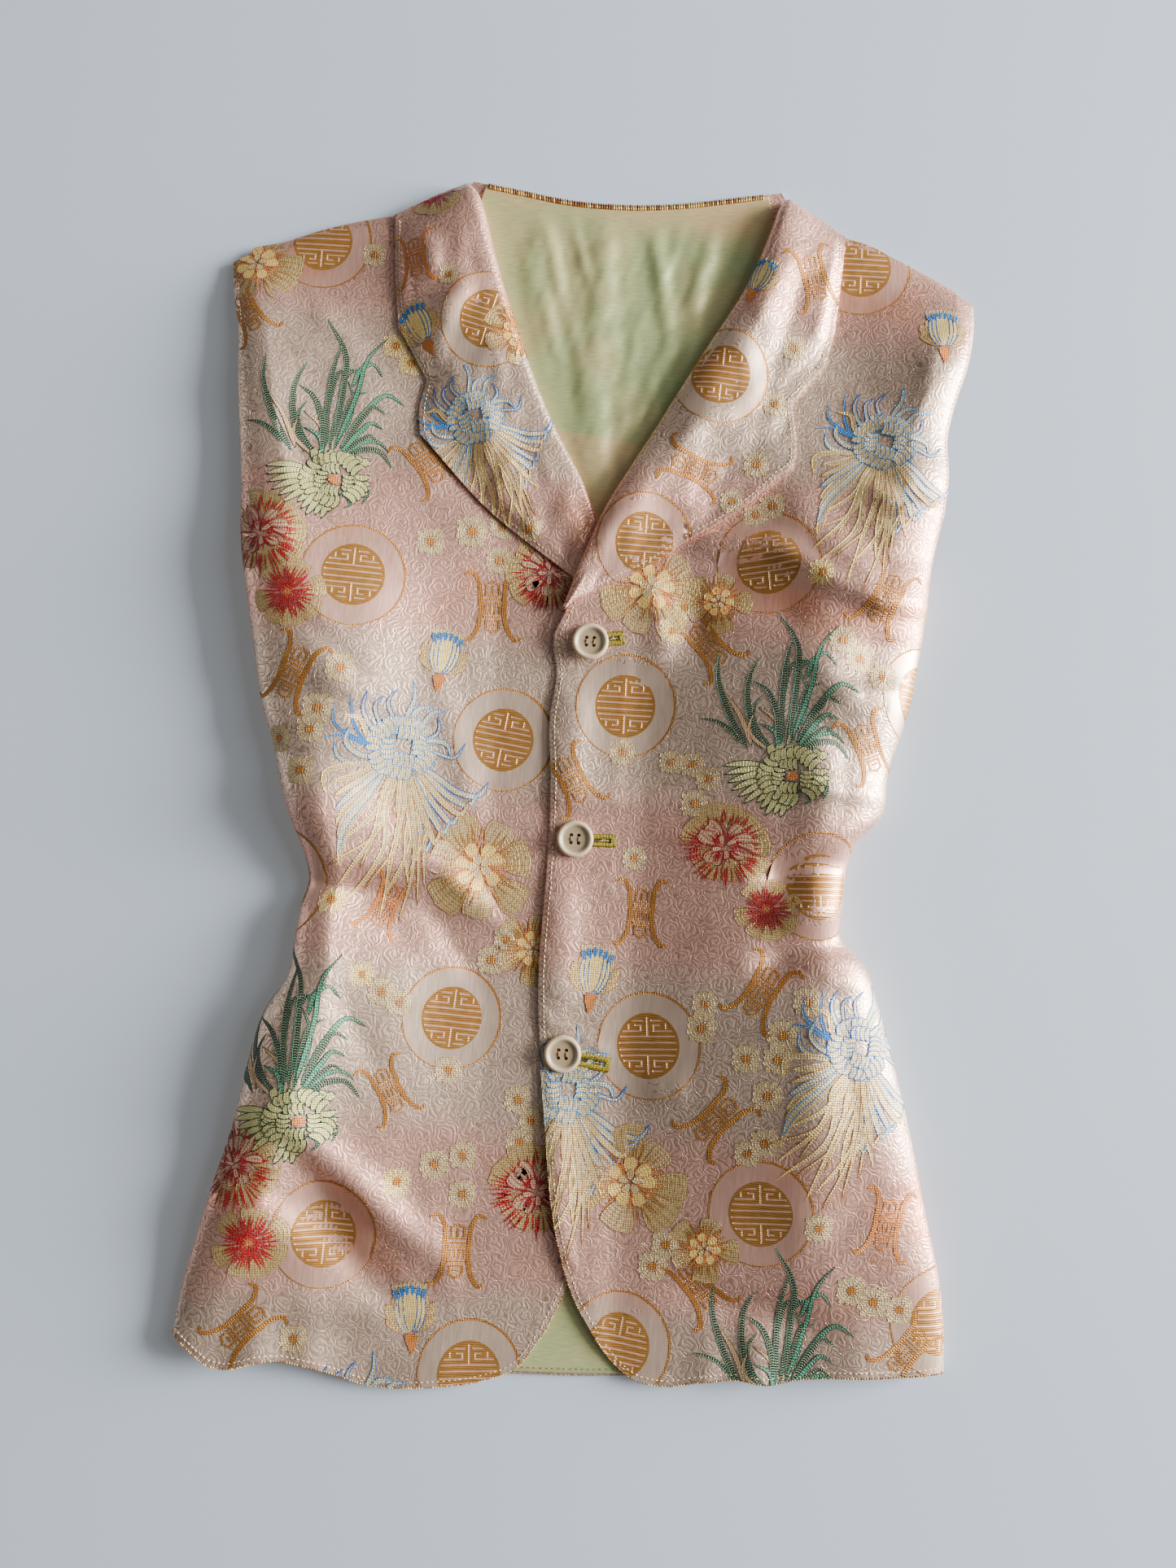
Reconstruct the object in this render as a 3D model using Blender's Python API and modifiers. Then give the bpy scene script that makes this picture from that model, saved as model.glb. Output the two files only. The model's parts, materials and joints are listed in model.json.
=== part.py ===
"""Jacquard waistcoat laid out flat, front up, its right front buttoned over its left one.

The back lies flat on the table with its lining on it. The two fronts rest on the lining along the
closure, swell up towards the sides, roll over and come down to the side seams. Each collar and lapel
is one piece, folded back on its front. Lengths are millimetres; x runs to the viewer's right,
y towards the neck and z up. Left and right are the viewer's. "Outward" is x measured from the
closure to the side of the piece.
"""

import math

import bmesh
import bpy
import numpy as np

MM = 0.001
CLOTH = 1.2  # wall of the brocade with its backing
SILK = 1.0  # wall of the back lining
GAP = 0.3  # left between two pieces that touch
BUTTON_RADIUS = 9.5
SHIFT = (6.48, -9.91)  # brings the middle of the laid garment onto the origin

SEAM_LEVEL = CLOTH + GAP + CLOTH / 2  # a front's edge where it is sewn down on the back
REST_LEVEL = CLOTH + GAP + SILK + GAP + CLOTH / 2  # a front that lies on the lining
LAYER = CLOTH + GAP  # what one more layer of cloth adds
SHOULDER_ROLL = 12.0  # depth over which a front rises from the shoulder seam
RISE_START = 0.25  # share of the half width where a front leaves the lining
WIDEST_LEVEL = 0.42  # share of its height where a side sticks out furthest

LEFT, RIGHT = -1, 1

# One row for each section across the body, from the shoulder tips to the hem: half widths to the
# left and right, the height of the swelling, the width over which it rolls down, how far the seam
# is tucked in below, and how far the cloth bends round (80 leaves a free armhole edge).
SECTION_COLUMNS = ("y", "left", "right", "crown", "roll", "tuck", "bend")
SECTIONS = (
    (266, 205.0, 190.0, 4.0, 10, 6, 80),
    (250, 202.0, 189.5, 6.0, 12, 6, 80),
    (232, 198.0, 186.5, 8.5, 15, 6, 80),
    (205, 195.5, 179.0, 12.0, 18, 6, 80),
    (190, 194.0, 176.5, 13.5, 20, 6, 80),
    (170, 191.5, 177.5, 16.0, 22, 6, 80),
    (150, 189.0, 175.5, 18.5, 24, 6, 80),
    (130, 187.5, 172.0, 20.0, 25, 6, 105),
    (110, 185.0, 169.0, 21.5, 26, 6, 150),
    (85, 180.3, 167.0, 22.0, 27, 7, 180),
    (60, 175.0, 163.5, 22.0, 27, 8, 180),
    (32, 169.0, 157.0, 21.5, 26, 8, 180),
    (10, 161.0, 151.0, 20.5, 24, 8, 180),
    (-8, 156.0, 149.5, 19.5, 22, 8, 180),
    (-25, 150.0, 136.0, 17.5, 19, 7, 180),
    (-40, 143.0, 132.5, 16.0, 17, 6, 180),
    (-55, 138.3, 131.0, 15.5, 16, 5, 180),
    (-70, 141.0, 130.5, 16.0, 16, 5, 180),
    (-85, 142.5, 143.5, 17.5, 18, 5, 180),
    (-103, 144.0, 150.5, 19.5, 21, 5, 180),
    (-125, 155.0, 157.5, 21.0, 25, 6, 180),
    (-150, 161.0, 165.0, 21.5, 27, 7, 180),
    (-180, 166.0, 173.0, 20.5, 28, 7, 180),
    (-210, 174.0, 180.5, 18.0, 27, 6, 180),
    (-240, 181.5, 188.0, 15.5, 24, 5, 180),
    (-262, 186.4, 191.0, 13.0, 21, 4, 180),
    (-283, 189.4, 191.6, 11.0, 18, 3, 180),
)

# Shoulder seams from the neck point to the shoulder tip, as outward x and y.
SHOULDERS = {
    LEFT: ((81, 321), (95, 308), (120, 300), (143, 294), (160, 288.6), (179, 281), (198, 275), (205, 268)),
    RIGHT: ((87, 322), (104, 309), (120, 301), (134, 297), (147, 291), (166, 282), (186, 270), (190, 266)),
}

# Fold line of each lapel from the neck to the break: outward x, y and the fold's radius.
ROLLS = {
    LEFT: (
        (80, 319, 4.0), (74, 306, 5.0), (66, 280, 5.0), (48, 230, 4.0), (29, 188, 3.0),
        (12, 158.5, 2.0), (2.7, 137, 1.5), (-6, 113, 1.2), (-11, 90, 1.1),
    ),
    RIGHT: (
        (86, 320, 4.0), (79, 296, 5.0), (68, 267, 4.5), (53, 240, 4.0), (33, 204, 3.3),
        (14, 169, 2.6), (-1, 140, 2.0), (-10, 116, 1.6), (-18.5, 90, 1.2),
    ),
}

# Free edge of each collar and lapel: outward x, y and 1 at a corner.
LAPEL_EDGES = {
    LEFT: (
        (120.4, 299, 1), (117.5, 262, 0), (114, 236, 1), (97, 208, 1), (99.8, 190, 0), (98.5, 178, 1),
        (59, 139, 0), (37, 123, 0), (18, 110, 0), (0, 98, 0), (-11, 91, 1),
    ),
    RIGHT: (
        (120.3, 300, 1), (119, 276, 0), (116, 245, 0), (111.5, 226, 1), (95, 205, 1), (98, 181, 0),
        (97, 171, 0), (90, 164.5, 0), (82, 156, 0), (62, 139.5, 0), (45, 129, 0), (26, 115, 0),
        (12, 107, 0), (-1, 100, 0), (-17, 91, 1),
    ),
}

# Closing edge of each front from the break to the middle of its rounded corner, outward x and y.
FRONT_EDGES = {
    LEFT: ((-11.5, 70), (-11.5, 0), (-11.5, -100), (-11.5, -200), (-8.5, -238), (-3, -254.6), (6, -275)),
    RIGHT: (
        (-22, 74), (-19.5, 57), (-21.5, 32), (-19, 0), (-18.5, -50), (-19.3, -100), (-16.4, -138),
        (-12, -171), (-4, -222), (7, -256), (20, -277),
    ),
}

# Hem of each front from the side seam to the middle of the rounded corner, outward x and y.
HEMS = {
    LEFT: (
        (189.4, -284), (182, -288), (174, -295.8), (163, -298.7), (145, -294.1), (125, -295.3),
        (109.5, -299.4), (96, -303.8), (59, -303.6), (33, -299), (20.8, -294), (6, -275),
    ),
    RIGHT: (
        (191.6, -281), (170, -283), (133, -286), (118, -288.3), (107, -291), (91, -290.3),
        (73, -292.8), (55, -296.6), (40, -294.7), (28, -286.5), (20, -277),
    ),
}

# Back of the garment: neck from left to right, and hem from right to left.
BACK_NECK = ((-80, 322), (-54, 318), (-28, 314), (0, 313), (29, 315), (59, 320), (86, 325))
BACK_HEM = (
    (188, -277), (150, -282), (100, -287.5), (60, -292), (20, -295.5), (-15, -296.5),
    (-60, -297), (-110, -293), (-150, -289), (-186, -279),
)

# The largest folds, each from one end to the other, with its half width and its height or depth.
FOLD_COLUMNS = ("side", "x0", "y0", "x1", "y1", "width", "height")
FOLDS = (
    (LEFT, 152, -172, 108, -226, 11, -4.5),  # drag from the hip down to the hem
    (LEFT, 141, -58, 92, -64, 8, -5.0),  # pinch at the waist
    (LEFT, 150, -18, 100, -30, 12, 2.5),  # swelling over the waist
    (LEFT, 118, -66, 84, -84, 7, -2.0),
    (LEFT, 165, 120, 120, 20, 14, 2.5),  # swelling of the chest
    (RIGHT, 134, -30, 92, -44, 8, -6.0),  # pinch at the waist
    (RIGHT, 134, -68, 92, -86, 8, -5.0),  # second pinch, below it
    (RIGHT, 140, -50, 100, -62, 7, 3.0),
    (RIGHT, 98, 150, 150, 96, 11, 3.5),  # swelling from the lapel to the side
    (RIGHT, -17, -10, 48, -16, 7, 1.6),  # ridge beside the middle button
    (RIGHT, 12, 62, 34, 66, 5, 1.0),
    (RIGHT, 60, -250, 130, -262, 9, -1.6),
)

# Waves of the hems: outward x, half width and height.
HEM_WAVES = {
    LEFT: ((147, 12, 3.5), (122, 10, 2.5), (60, 22, 1.5)),
    RIGHT: ((150, 16, 2.5), (99, 9, 2.5), (75, 8, 1.5)),
}
HEM_WAVE_REACH = 45.0  # how far a wave runs up from the hem

# Where the upper front climbs over what lies below it. Each pair runs from nothing to the full height.
OVERLAP_X = (32.0, 15.0)  # over the under front's closing edge
OVERLAP_Y = (200.0, 160.0)
OVERLAP_HEIGHT = LAYER + 0.1
HUMP_X = (58.0, 16.0)  # over the lower end of the left lapel
HUMP_FOOT_Y = (46.0, 84.0)
HUMP_HEAD_Y = (196.0, 146.0)
HUMP_HEIGHT = 5.0
LAPEL_ROOM = 0.3  # air under a lapel's free edge

# Soft upright wrinkles of the lining below the neck: x, half width and height.
LINING_WRINKLES = ((-36, 7, 1.2), (-12, 6, 0.8), (12, 7, 1.3), (40, 7, 1.0))
WRINKLE_FOOT_Y = (130.0, 190.0)
WRINKLE_HEAD_Y = (312.0, 282.0)

# The back and its lining end this far inside the fronts, and the lining also clears the collar.
BACK_SHOULDER_INSET = 0.5
LINING_SIDE_INSET = 7.0
LINING_SHOULDER_INSET = 10.0
LINING_END_INSET = 1.5
LINING_COLLAR_ROOM = 12.0
SEAM_UNDERLAP = 2.0  # how far the back reaches past a front's side seam
BACK_HEM_END = 176.0  # the hem's own points go no further out than this

PANEL_COLUMNS = 14  # of a front, up to its crown
ROLL_COLUMNS = 8  # from the crown round to the side seam
LAPEL_COLUMNS = 9  # of a lapel, up to its fold
TURN_COLUMNS = 6  # round the fold

BUTTONS = (("button_top", -3.0, 72.7), ("button_middle", -5.0, -29.1), ("button_bottom", -5.0, -137.6))
# Outline of a button from the middle of its face, out over the rim and back below: radius and height.
BUTTON_PROFILE = (
    (0.0, 2.1), (4.6, 2.1), (6.2, 2.3), (7.0, 3.0), (7.9, 3.4), (8.8, 3.2), (9.4, 2.5),
    (BUTTON_RADIUS, 1.7), (9.0, 0.8), (7.6, 0.2), (6.6, 0.0), (0.0, 0.0),
)
HOLE_RADIUS = 0.95
HOLE_SPACING = 3.9

COLOURS = {  # linear red, green and blue, then roughness
    "brocade_pink": ((0.70, 0.50, 0.44), 0.42),
    "lapel_brocade": ((0.66, 0.48, 0.41), 0.42),
    "silk_lining": ((0.60, 0.62, 0.40), 0.55),
    "button_horn": ((0.68, 0.58, 0.46), 0.35),
}


def columns(names, rows):
    """Turns a table's rows into one array for each named column."""
    return {name: np.array([row[i] for row in rows], float) for i, name in enumerate(names)}


SECTION = columns(SECTION_COLUMNS, SECTIONS[::-1])


def smooth(t):
    t = np.clip(t, 0.0, 1.0)
    return t * t * (3.0 - 2.0 * t)


def ramp(value, start, end):
    """Goes softly from 0 at the start to 1 at the end."""
    return smooth((value - start) / (end - start))


def section(name, y):
    """A column of the section table at any y, with soft turns between the rows."""
    knots, values = SECTION["y"], SECTION[name]
    y = np.clip(y, knots[0], knots[-1])
    i = np.clip(np.searchsorted(knots, y) - 1, 0, len(knots) - 2)
    slopes = np.gradient(values, knots)
    width = knots[i + 1] - knots[i]
    t = (y - knots[i]) / width
    start = values[i] * (1 + 2 * t) * (1 - t) ** 2 + values[i + 1] * t * t * (3 - 2 * t)
    return start + slopes[i] * width * t * (1 - t) ** 2 - slopes[i + 1] * width * t * t * (1 - t)


def half_width(side, y):
    return section("left" if side == LEFT else "right", y)


def line_through(points, corners=(), steps=8):
    """A smooth line through the points, as many short steps. It turns sharply only at the corners."""
    points = np.array(points, float)
    strides = np.diff(points, axis=0)
    lengths = np.linalg.norm(strides, axis=1)[:, None]
    slopes = strides / lengths
    bends = (slopes[:-1] * lengths[1:] + slopes[1:] * lengths[:-1]) / (lengths[1:] + lengths[:-1])
    t = np.linspace(0, 1, steps, endpoint=False)[:, None]
    runs = []
    for i in range(len(strides)):
        start = slopes[i] if i == 0 or i in corners else bends[i - 1]
        end = slopes[i] if i == len(strides) - 1 or i + 1 in corners else bends[i]
        run = points[i] * (1 + 2 * t) * (1 - t) ** 2 + points[i + 1] * t * t * (3 - 2 * t)
        runs.append(run + lengths[i] * (start * t * (1 - t) ** 2 - end * t * t * (1 - t)))
    return np.vstack(runs + [points[-1:]])


def shares(line):
    """How far along the line each of its points lies, from 0 to 1."""
    reach = np.concatenate([[0], np.cumsum(np.linalg.norm(np.diff(line[:, :2], axis=0), axis=1))])
    return reach / reach[-1]


def along(line, at):
    """The points that lie these shares of the way along a line."""
    reach = shares(line)
    return np.stack([np.interp(at, reach, line[:, i]) for i in range(line.shape[1])], axis=-1)


def distance_to(line, x, y):
    """Shortest distance from each point to the line's steps."""
    points = np.stack([np.asarray(x, float), np.asarray(y, float)], axis=-1)[..., None, :]
    starts, strides = line[:-1], np.diff(line, axis=0)
    t = ((points - starts) * strides).sum(-1) / (strides * strides).sum(-1)
    nearest = starts + np.clip(t, 0, 1)[..., None] * strides
    return np.linalg.norm(points - nearest, axis=-1).min(-1)


def fold_height(side, x, y):
    """The sum of the folds at outward x and y. Each fades out towards its ends."""
    total = np.zeros(np.broadcast(x, y).shape)
    for row in FOLDS:
        fold = dict(zip(FOLD_COLUMNS, row))
        if fold["side"] != side:
            continue
        dx, dy = fold["x1"] - fold["x0"], fold["y1"] - fold["y0"]
        length = math.hypot(dx, dy)
        t = ((x - fold["x0"]) * dx + (y - fold["y0"]) * dy) / length**2
        across = ((x - fold["x0"]) * dy - (y - fold["y0"]) * dx) / length
        fade = smooth((t + 0.25) / 0.5) * smooth((1.25 - t) / 0.5)
        total = total + fold["height"] * np.exp(-((across / fold["width"]) ** 2)) * fade
    return total


def hem_waves(side, x, y):
    hem = line_through(HEMS[side])
    order = np.argsort(hem[:, 0])
    above = y - np.interp(x, hem[order, 0], hem[order, 1])
    fade = smooth(1 - above / HEM_WAVE_REACH)
    return fade * sum(height * np.exp(-(((x - at) / width) ** 2)) for at, width, height in HEM_WAVES[side])


def rest_level(side, x, y):
    """The lowest that a front can lie: on the lining, or on the other front where it overlaps that."""
    if side == LEFT:
        return np.full(np.broadcast(x, y).shape, REST_LEVEL)
    over_front = OVERLAP_HEIGHT * ramp(x, *OVERLAP_X) * ramp(y, *OVERLAP_Y)
    over_lapel = HUMP_HEIGHT * ramp(x, *HUMP_X) * ramp(y, *HUMP_FOOT_Y) * ramp(y, *HUMP_HEAD_Y)
    return REST_LEVEL + np.maximum(over_front, over_lapel)


def front_level(side, x, y):
    """Height of the middle of a front's cloth at outward x and y."""
    crown_x = half_width(side, y) - section("roll", y)
    rise = smooth((x / crown_x - RISE_START) / (1 - RISE_START))
    rest = rest_level(side, x, y)
    level = rest + np.maximum(section("crown", y) - rest, 0) * rise
    level = np.maximum(level + fold_height(side, x, y) + hem_waves(side, x, y), rest)
    shoulder = line_through(SHOULDERS[side])
    near = 1 - np.clip(distance_to(shoulder, x, y) / SHOULDER_ROLL, 0, 1)
    return SEAM_LEVEL + (level - SEAM_LEVEL) * np.sqrt(1 - near**2)


def patch(top, bottom, inner, outer, across, down):
    """Points of a four-sided panel between its edges. The two side edges have a point for each row."""
    u, v = across[None, :, None], down[:, None, None]
    top, bottom = along(top, across)[None], along(bottom, across)[None]
    inner, outer = inner[:, None], outer[:, None]
    corners = (1 - u) * (1 - v) * top[:, :1] + u * (1 - v) * top[:, -1:]
    corners = corners + (1 - u) * v * bottom[:, :1] + u * v * bottom[:, -1:]
    return (1 - v) * top + v * bottom + (1 - u) * inner + u * outer - corners


def normals_of(line):
    """Unit normals that point to the side of larger x on a line that runs down the garment."""
    tangents = np.gradient(line[:, :2], axis=0)
    tangents /= np.linalg.norm(tangents, axis=1)[:, None]
    return np.stack([-tangents[:, 1], tangents[:, 0]], axis=1)


def crest_line(side):
    """Where a lapel's fold starts to turn down, with the fold's radius and its outward normal."""
    roll = line_through(ROLLS[side])
    normals = normals_of(roll)
    offset = (roll[:, 2] + CLOTH / 2)[:, None]
    return np.hstack([roll[:, :2] + offset * normals, roll[:, 2:], normals])


def side_line(side):
    """The side of a front seen from above, from the shoulder tip to the hem."""
    y = SECTION["y"][::-1]
    points = np.stack([half_width(side, y), y], axis=1)
    points[0] = SHOULDERS[side][-1]
    points[-1] = HEMS[side][0]
    return line_through(points)


def roll_headings(side, down):
    """The way each row heads over the side: along the shoulder at the top, along the hem at the foot."""
    tip, before = np.array(SHOULDERS[side][-1]), np.array(SHOULDERS[side][-3])
    corner, hem = np.array(HEMS[side][0]), line_through(HEMS[side])
    foot = hem[np.argmin(np.abs(hem[:, 0] - corner[0] + section("roll", corner[1])))]
    top = (tip - before) / np.linalg.norm(tip - before)
    bottom = (corner - foot) / np.linalg.norm(corner - foot)
    at_top = smooth(1 - down / 0.08)[:, None]
    at_bottom = smooth((down - 0.92) / 0.08)[:, None]
    heading = top * at_top + bottom * at_bottom + np.array([1.0, 0.0]) * (1 - at_top - at_bottom)
    return heading / np.linalg.norm(heading, axis=1)[:, None]


def front_points(side):
    """A front's grid of points: rows from the shoulder to the hem, columns from the closure to the seam."""
    down = np.concatenate([[0, 0.004, 0.01, 0.018, 0.03], np.linspace(0.05, 0.985, 34), [1]])
    across = np.linspace(0, 1, PANEL_COLUMNS) ** 1.15
    crest = crest_line(side)
    inner = np.vstack([crest[::8, :2] + 2 * GAP * crest[::8, 3:5], FRONT_EDGES[side]])
    inner = line_through(inner)
    edge = along(side_line(side), down)
    heading = roll_headings(side, down)
    crown = edge - section("roll", edge[:, 1])[:, None] * heading
    shoulder = line_through(SHOULDERS[side])
    start = np.argmin(np.linalg.norm(shoulder - inner[0], axis=1)) + 1
    end = np.searchsorted(shoulder[:, 0], crown[0, 0])
    top = np.vstack([inner[:1], shoulder[start:end], crown[:1]])
    hem = line_through(HEMS[side])[::-1]
    bottom = np.vstack([hem[hem[:, 0] < crown[-1, 0]], crown[-1:]])
    flat = patch(top, bottom, along(inner, down), crown, across, down)
    x, y = flat[..., 0], flat[..., 1]
    panel = np.stack([x, y, front_level(side, x, y)], axis=-1)
    return np.concatenate([panel, rolled_side(side, panel[:, -1], edge, heading)], axis=1)


def rolled_side(side, crown, edge, heading):
    """The columns past the crown: over to the side, and round below it to the seam."""
    y = edge[:, 1]
    bend = np.radians(section("bend", y))
    tuck = section("tuck", y)
    top = crown[:, 2]
    widest = SEAM_LEVEL + WIDEST_LEVEL * (top - SEAM_LEVEL)
    reach = np.linalg.norm(edge - crown[:, :2], axis=1) / np.sin(np.minimum(bend, math.pi / 2))
    result = []
    for share in np.linspace(0, 1, ROLL_COLUMNS + 1)[1:]:
        angle = share * bend
        over = np.minimum(angle, math.pi / 2)
        under = np.maximum(angle - math.pi / 2, 0)
        out = reach * np.sin(over) - tuck * (1 - np.cos(under))
        level = widest + (top - widest) * np.cos(over) - (widest - SEAM_LEVEL) * np.sin(under)
        place = crown[:, :2] + out[:, None] * heading
        result.append(np.column_stack([place, level]))
    return np.stack(result, axis=1)


def lapel_rows(edge, corner_places):
    """Shares of the lapel's length for its rows, with a row at each corner of the free edge."""
    even = np.concatenate([[0, 0.008, 0.02, 0.04], np.linspace(0.075, 1, 17)])
    corners = shares(edge)[corner_places]
    kept = [s for s in even if abs(corners - s).min() > 0.012]
    return np.sort(np.concatenate([kept, corners]))


def lapel_points(side):
    """A lapel's grid: rows from the neck to the break, columns from the free edge over the fold."""
    table = LAPEL_EDGES[side]
    corners = [i for i, row in enumerate(table) if row[2]]
    edge = line_through([row[:2] for row in table], corners)
    down = lapel_rows(edge, [8 * i for i in corners])
    free = along(edge, down)
    crest = along(crest_line(side), down)
    shoulder = line_through(SHOULDERS[side])
    result = []
    for share in np.linspace(0, 1, LAPEL_COLUMNS):
        place = free + share * (crest[:, :2] - free)
        result.append(np.column_stack([place, np.full(len(down), share)]))
    grid = np.stack(result, axis=1)
    x, y, share = grid[..., 0], grid[..., 1], grid[..., 2]
    near = 1 - np.clip(distance_to(shoulder, crest[:, 0], crest[:, 1]) / SHOULDER_ROLL, 0, 1)
    radius = np.maximum(crest[:, 2] * np.sqrt(1 - near**2), LAYER / 2 + 0.1)
    stand = (2 * radius[:, None] - LAYER) * smooth(share)
    level = front_level(side, x, y) + LAYER + LAPEL_ROOM + stand
    flat = np.stack([x, y, level], axis=-1)
    turned = []
    bottom = front_level(side, crest[:, 0], crest[:, 1])
    for angle in np.linspace(0, math.pi, TURN_COLUMNS + 1)[1:]:
        place = crest[:, :2] - (radius * math.sin(angle))[:, None] * crest[:, 3:5]
        level = bottom + radius + (radius + LAPEL_ROOM * (1 - angle / math.pi)) * math.cos(angle)
        turned.append(np.column_stack([place, level]))
    return np.concatenate([flat, np.stack(turned, axis=1)], axis=1)


def back_edges(side_inset, shoulder_inset, end_inset, collar_room):
    """The back's edges, each drawn in by its own inset: shoulders and neck, hem, left and right side."""
    neck = line_through(BACK_NECK) - np.array([0.0, end_inset])
    cut = collar_room / 2 - 0.1
    neck = neck[(neck[:, 0] > neck[0, 0] + cut) & (neck[:, 0] < neck[-1, 0] - cut)]
    hem = line_through(BACK_HEM[::-1]) + np.array([0.0, end_inset])
    hem = hem[np.abs(hem[:, 0]) < BACK_HEM_END]
    y = SECTION["y"][::-1][1:]
    shoulders, sides = {}, {}
    for side in (LEFT, RIGHT):
        seam = line_through(SHOULDERS[side])[:-6] - shoulder_inset * np.array([0.5, 0.866])
        corner = neck[-1 if side == RIGHT else 0]
        seam = seam[seam[:, 0] > side * corner[0] + collar_room + 1.0]
        shoulders[side] = seam * np.array([side, 1.0])
        if collar_room:
            shoulders[side] = np.vstack([corner - [0.0, collar_room], shoulders[side]])
        out = half_width(side, y) - section("tuck", y) + SEAM_UNDERLAP - side_inset
        places = np.stack([side * out, y], axis=1)
        places[-1, 1] = BACK_HEM[0 if side == RIGHT else -1][1] + end_inset
        sides[side] = line_through(np.vstack([shoulders[side][-1:], places]))
    top = [shoulders[LEFT][::-1], neck, shoulders[RIGHT]]
    hem = np.vstack([sides[LEFT][-1:], hem, sides[RIGHT][-1:]])
    return top, hem, sides


def mesh_object(name, mesh, colour):
    """Puts a mesh into the garment's collection with its own material."""
    thing = bpy.data.objects.new(name, mesh)
    bpy.data.collections["Jacquard waistcoat"].objects.link(thing)
    rgb, roughness = COLOURS[colour]
    material = bpy.data.materials.new(name + "_" + colour)
    material.use_nodes = True
    shader = material.node_tree.nodes["Principled BSDF"]
    shader.inputs["Base Color"].default_value = (*rgb, 1.0)
    shader.inputs["Roughness"].default_value = roughness
    shader.inputs["Metallic"].default_value = 0.0
    mesh.materials.append(material)
    return thing


def cloth_object(name, grid, side, wall, colour):
    """Joins a grid of points into a sheet and gives it the cloth's thickness."""
    rows, across = grid.shape[:2]
    placed = grid * np.array([side, 1.0, 1.0]) + np.array([*SHIFT, 0.0])
    mesh = bpy.data.meshes.new(name)
    shape = bmesh.new()
    points = [[shape.verts.new(point * MM) for point in row] for row in placed]
    for i in range(rows - 1):
        for j in range(across - 1):
            quad = (points[i][j], points[i + 1][j], points[i + 1][j + 1], points[i][j + 1])
            face = shape.faces.new(quad if side == RIGHT else quad[::-1])
            face.smooth = True
    shape.to_mesh(mesh)
    shape.free()
    thing = mesh_object(name, mesh, colour)
    solidify = thing.modifiers.new("wall", "SOLIDIFY")
    solidify.thickness = wall * MM
    solidify.offset = 0.0
    solidify.use_even_offset = True
    return thing


def build_fronts():
    for side, name in ((LEFT, "front_left"), (RIGHT, "front_right")):
        cloth_object(name, front_points(side), side, CLOTH, "brocade_pink")


def build_lapels():
    for side, name in ((LEFT, "lapel_left"), (RIGHT, "lapel_right")):
        cloth_object(name, lapel_points(side), side, CLOTH, "lapel_brocade")


def build_back():
    """The back: a flat outline with the thickness of the cloth, lying on the table."""
    top, hem, sides = back_edges(0.0, BACK_SHOULDER_INSET, 0.0, 0.0)
    outline = [run[::4] for run in top] + [sides[RIGHT][:-1:4], hem[::-4], sides[LEFT][-2:1:-4]]
    outline = np.vstack(outline)
    curve = bpy.data.curves.new("back_outline", "CURVE")
    curve.dimensions = "2D"
    curve.fill_mode = "BOTH"
    curve.extrude = CLOTH / 2 * MM
    spline = curve.splines.new("POLY")
    spline.points.add(len(outline) - 1)
    for point, (x, y) in zip(spline.points, outline + np.array(SHIFT)):
        point.co = (x * MM, y * MM, 0.0, 1.0)
    spline.use_cyclic_u = True
    guide = bpy.data.objects.new("back_outline", curve)
    bpy.context.scene.collection.objects.link(guide)
    guide.location.z = CLOTH / 2 * MM
    bpy.context.view_layer.update()
    graph = bpy.context.evaluated_depsgraph_get()
    mesh = bpy.data.meshes.new_from_object(guide.evaluated_get(graph))
    shape = bmesh.new()
    shape.from_mesh(mesh)
    bmesh.ops.remove_doubles(shape, verts=shape.verts, dist=1e-6)
    shape.to_mesh(mesh)
    shape.free()
    mesh.materials.clear()
    back = mesh_object("back", mesh, "brocade_pink")
    back.matrix_world = guide.matrix_world
    bpy.data.objects.remove(guide)


def build_lining():
    """The back lining on the back, with soft wrinkles below the neck."""
    insets = (LINING_SIDE_INSET, LINING_SHOULDER_INSET, LINING_END_INSET, LINING_COLLAR_ROOM)
    top, hem, sides = back_edges(*insets)
    joined = np.vstack(top)
    ends = shares(joined)[[len(top[0]), len(top[0]) + len(top[1]) - 1]]
    across = [np.linspace(0, ends[0], 4), np.linspace(*ends, 19)[1:], np.linspace(ends[1], 1, 4)[1:]]
    down = np.concatenate([np.linspace(0, 0.48, 12), np.linspace(0.51, 0.72, 9), np.linspace(0.78, 1, 5)])
    left, right = along(sides[LEFT], down), along(sides[RIGHT], down)
    flat = patch(joined, hem, left, right, np.concatenate(across), down)
    x, y = flat[..., 0], flat[..., 1]
    inside_collar = smooth((0.34 * (y - 128) - np.abs(x) + 10) / 14)
    opening = ramp(y, *WRINKLE_FOOT_Y) * ramp(y, *WRINKLE_HEAD_Y) * inside_collar
    wrinkles = sum(height * np.exp(-(((x - at) / width) ** 2)) for at, width, height in LINING_WRINKLES)
    level = CLOTH + GAP + SILK / 2 + opening * wrinkles
    cloth_object("back_lining", np.stack([x, y, level], axis=-1), RIGHT, SILK, "silk_lining")


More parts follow.
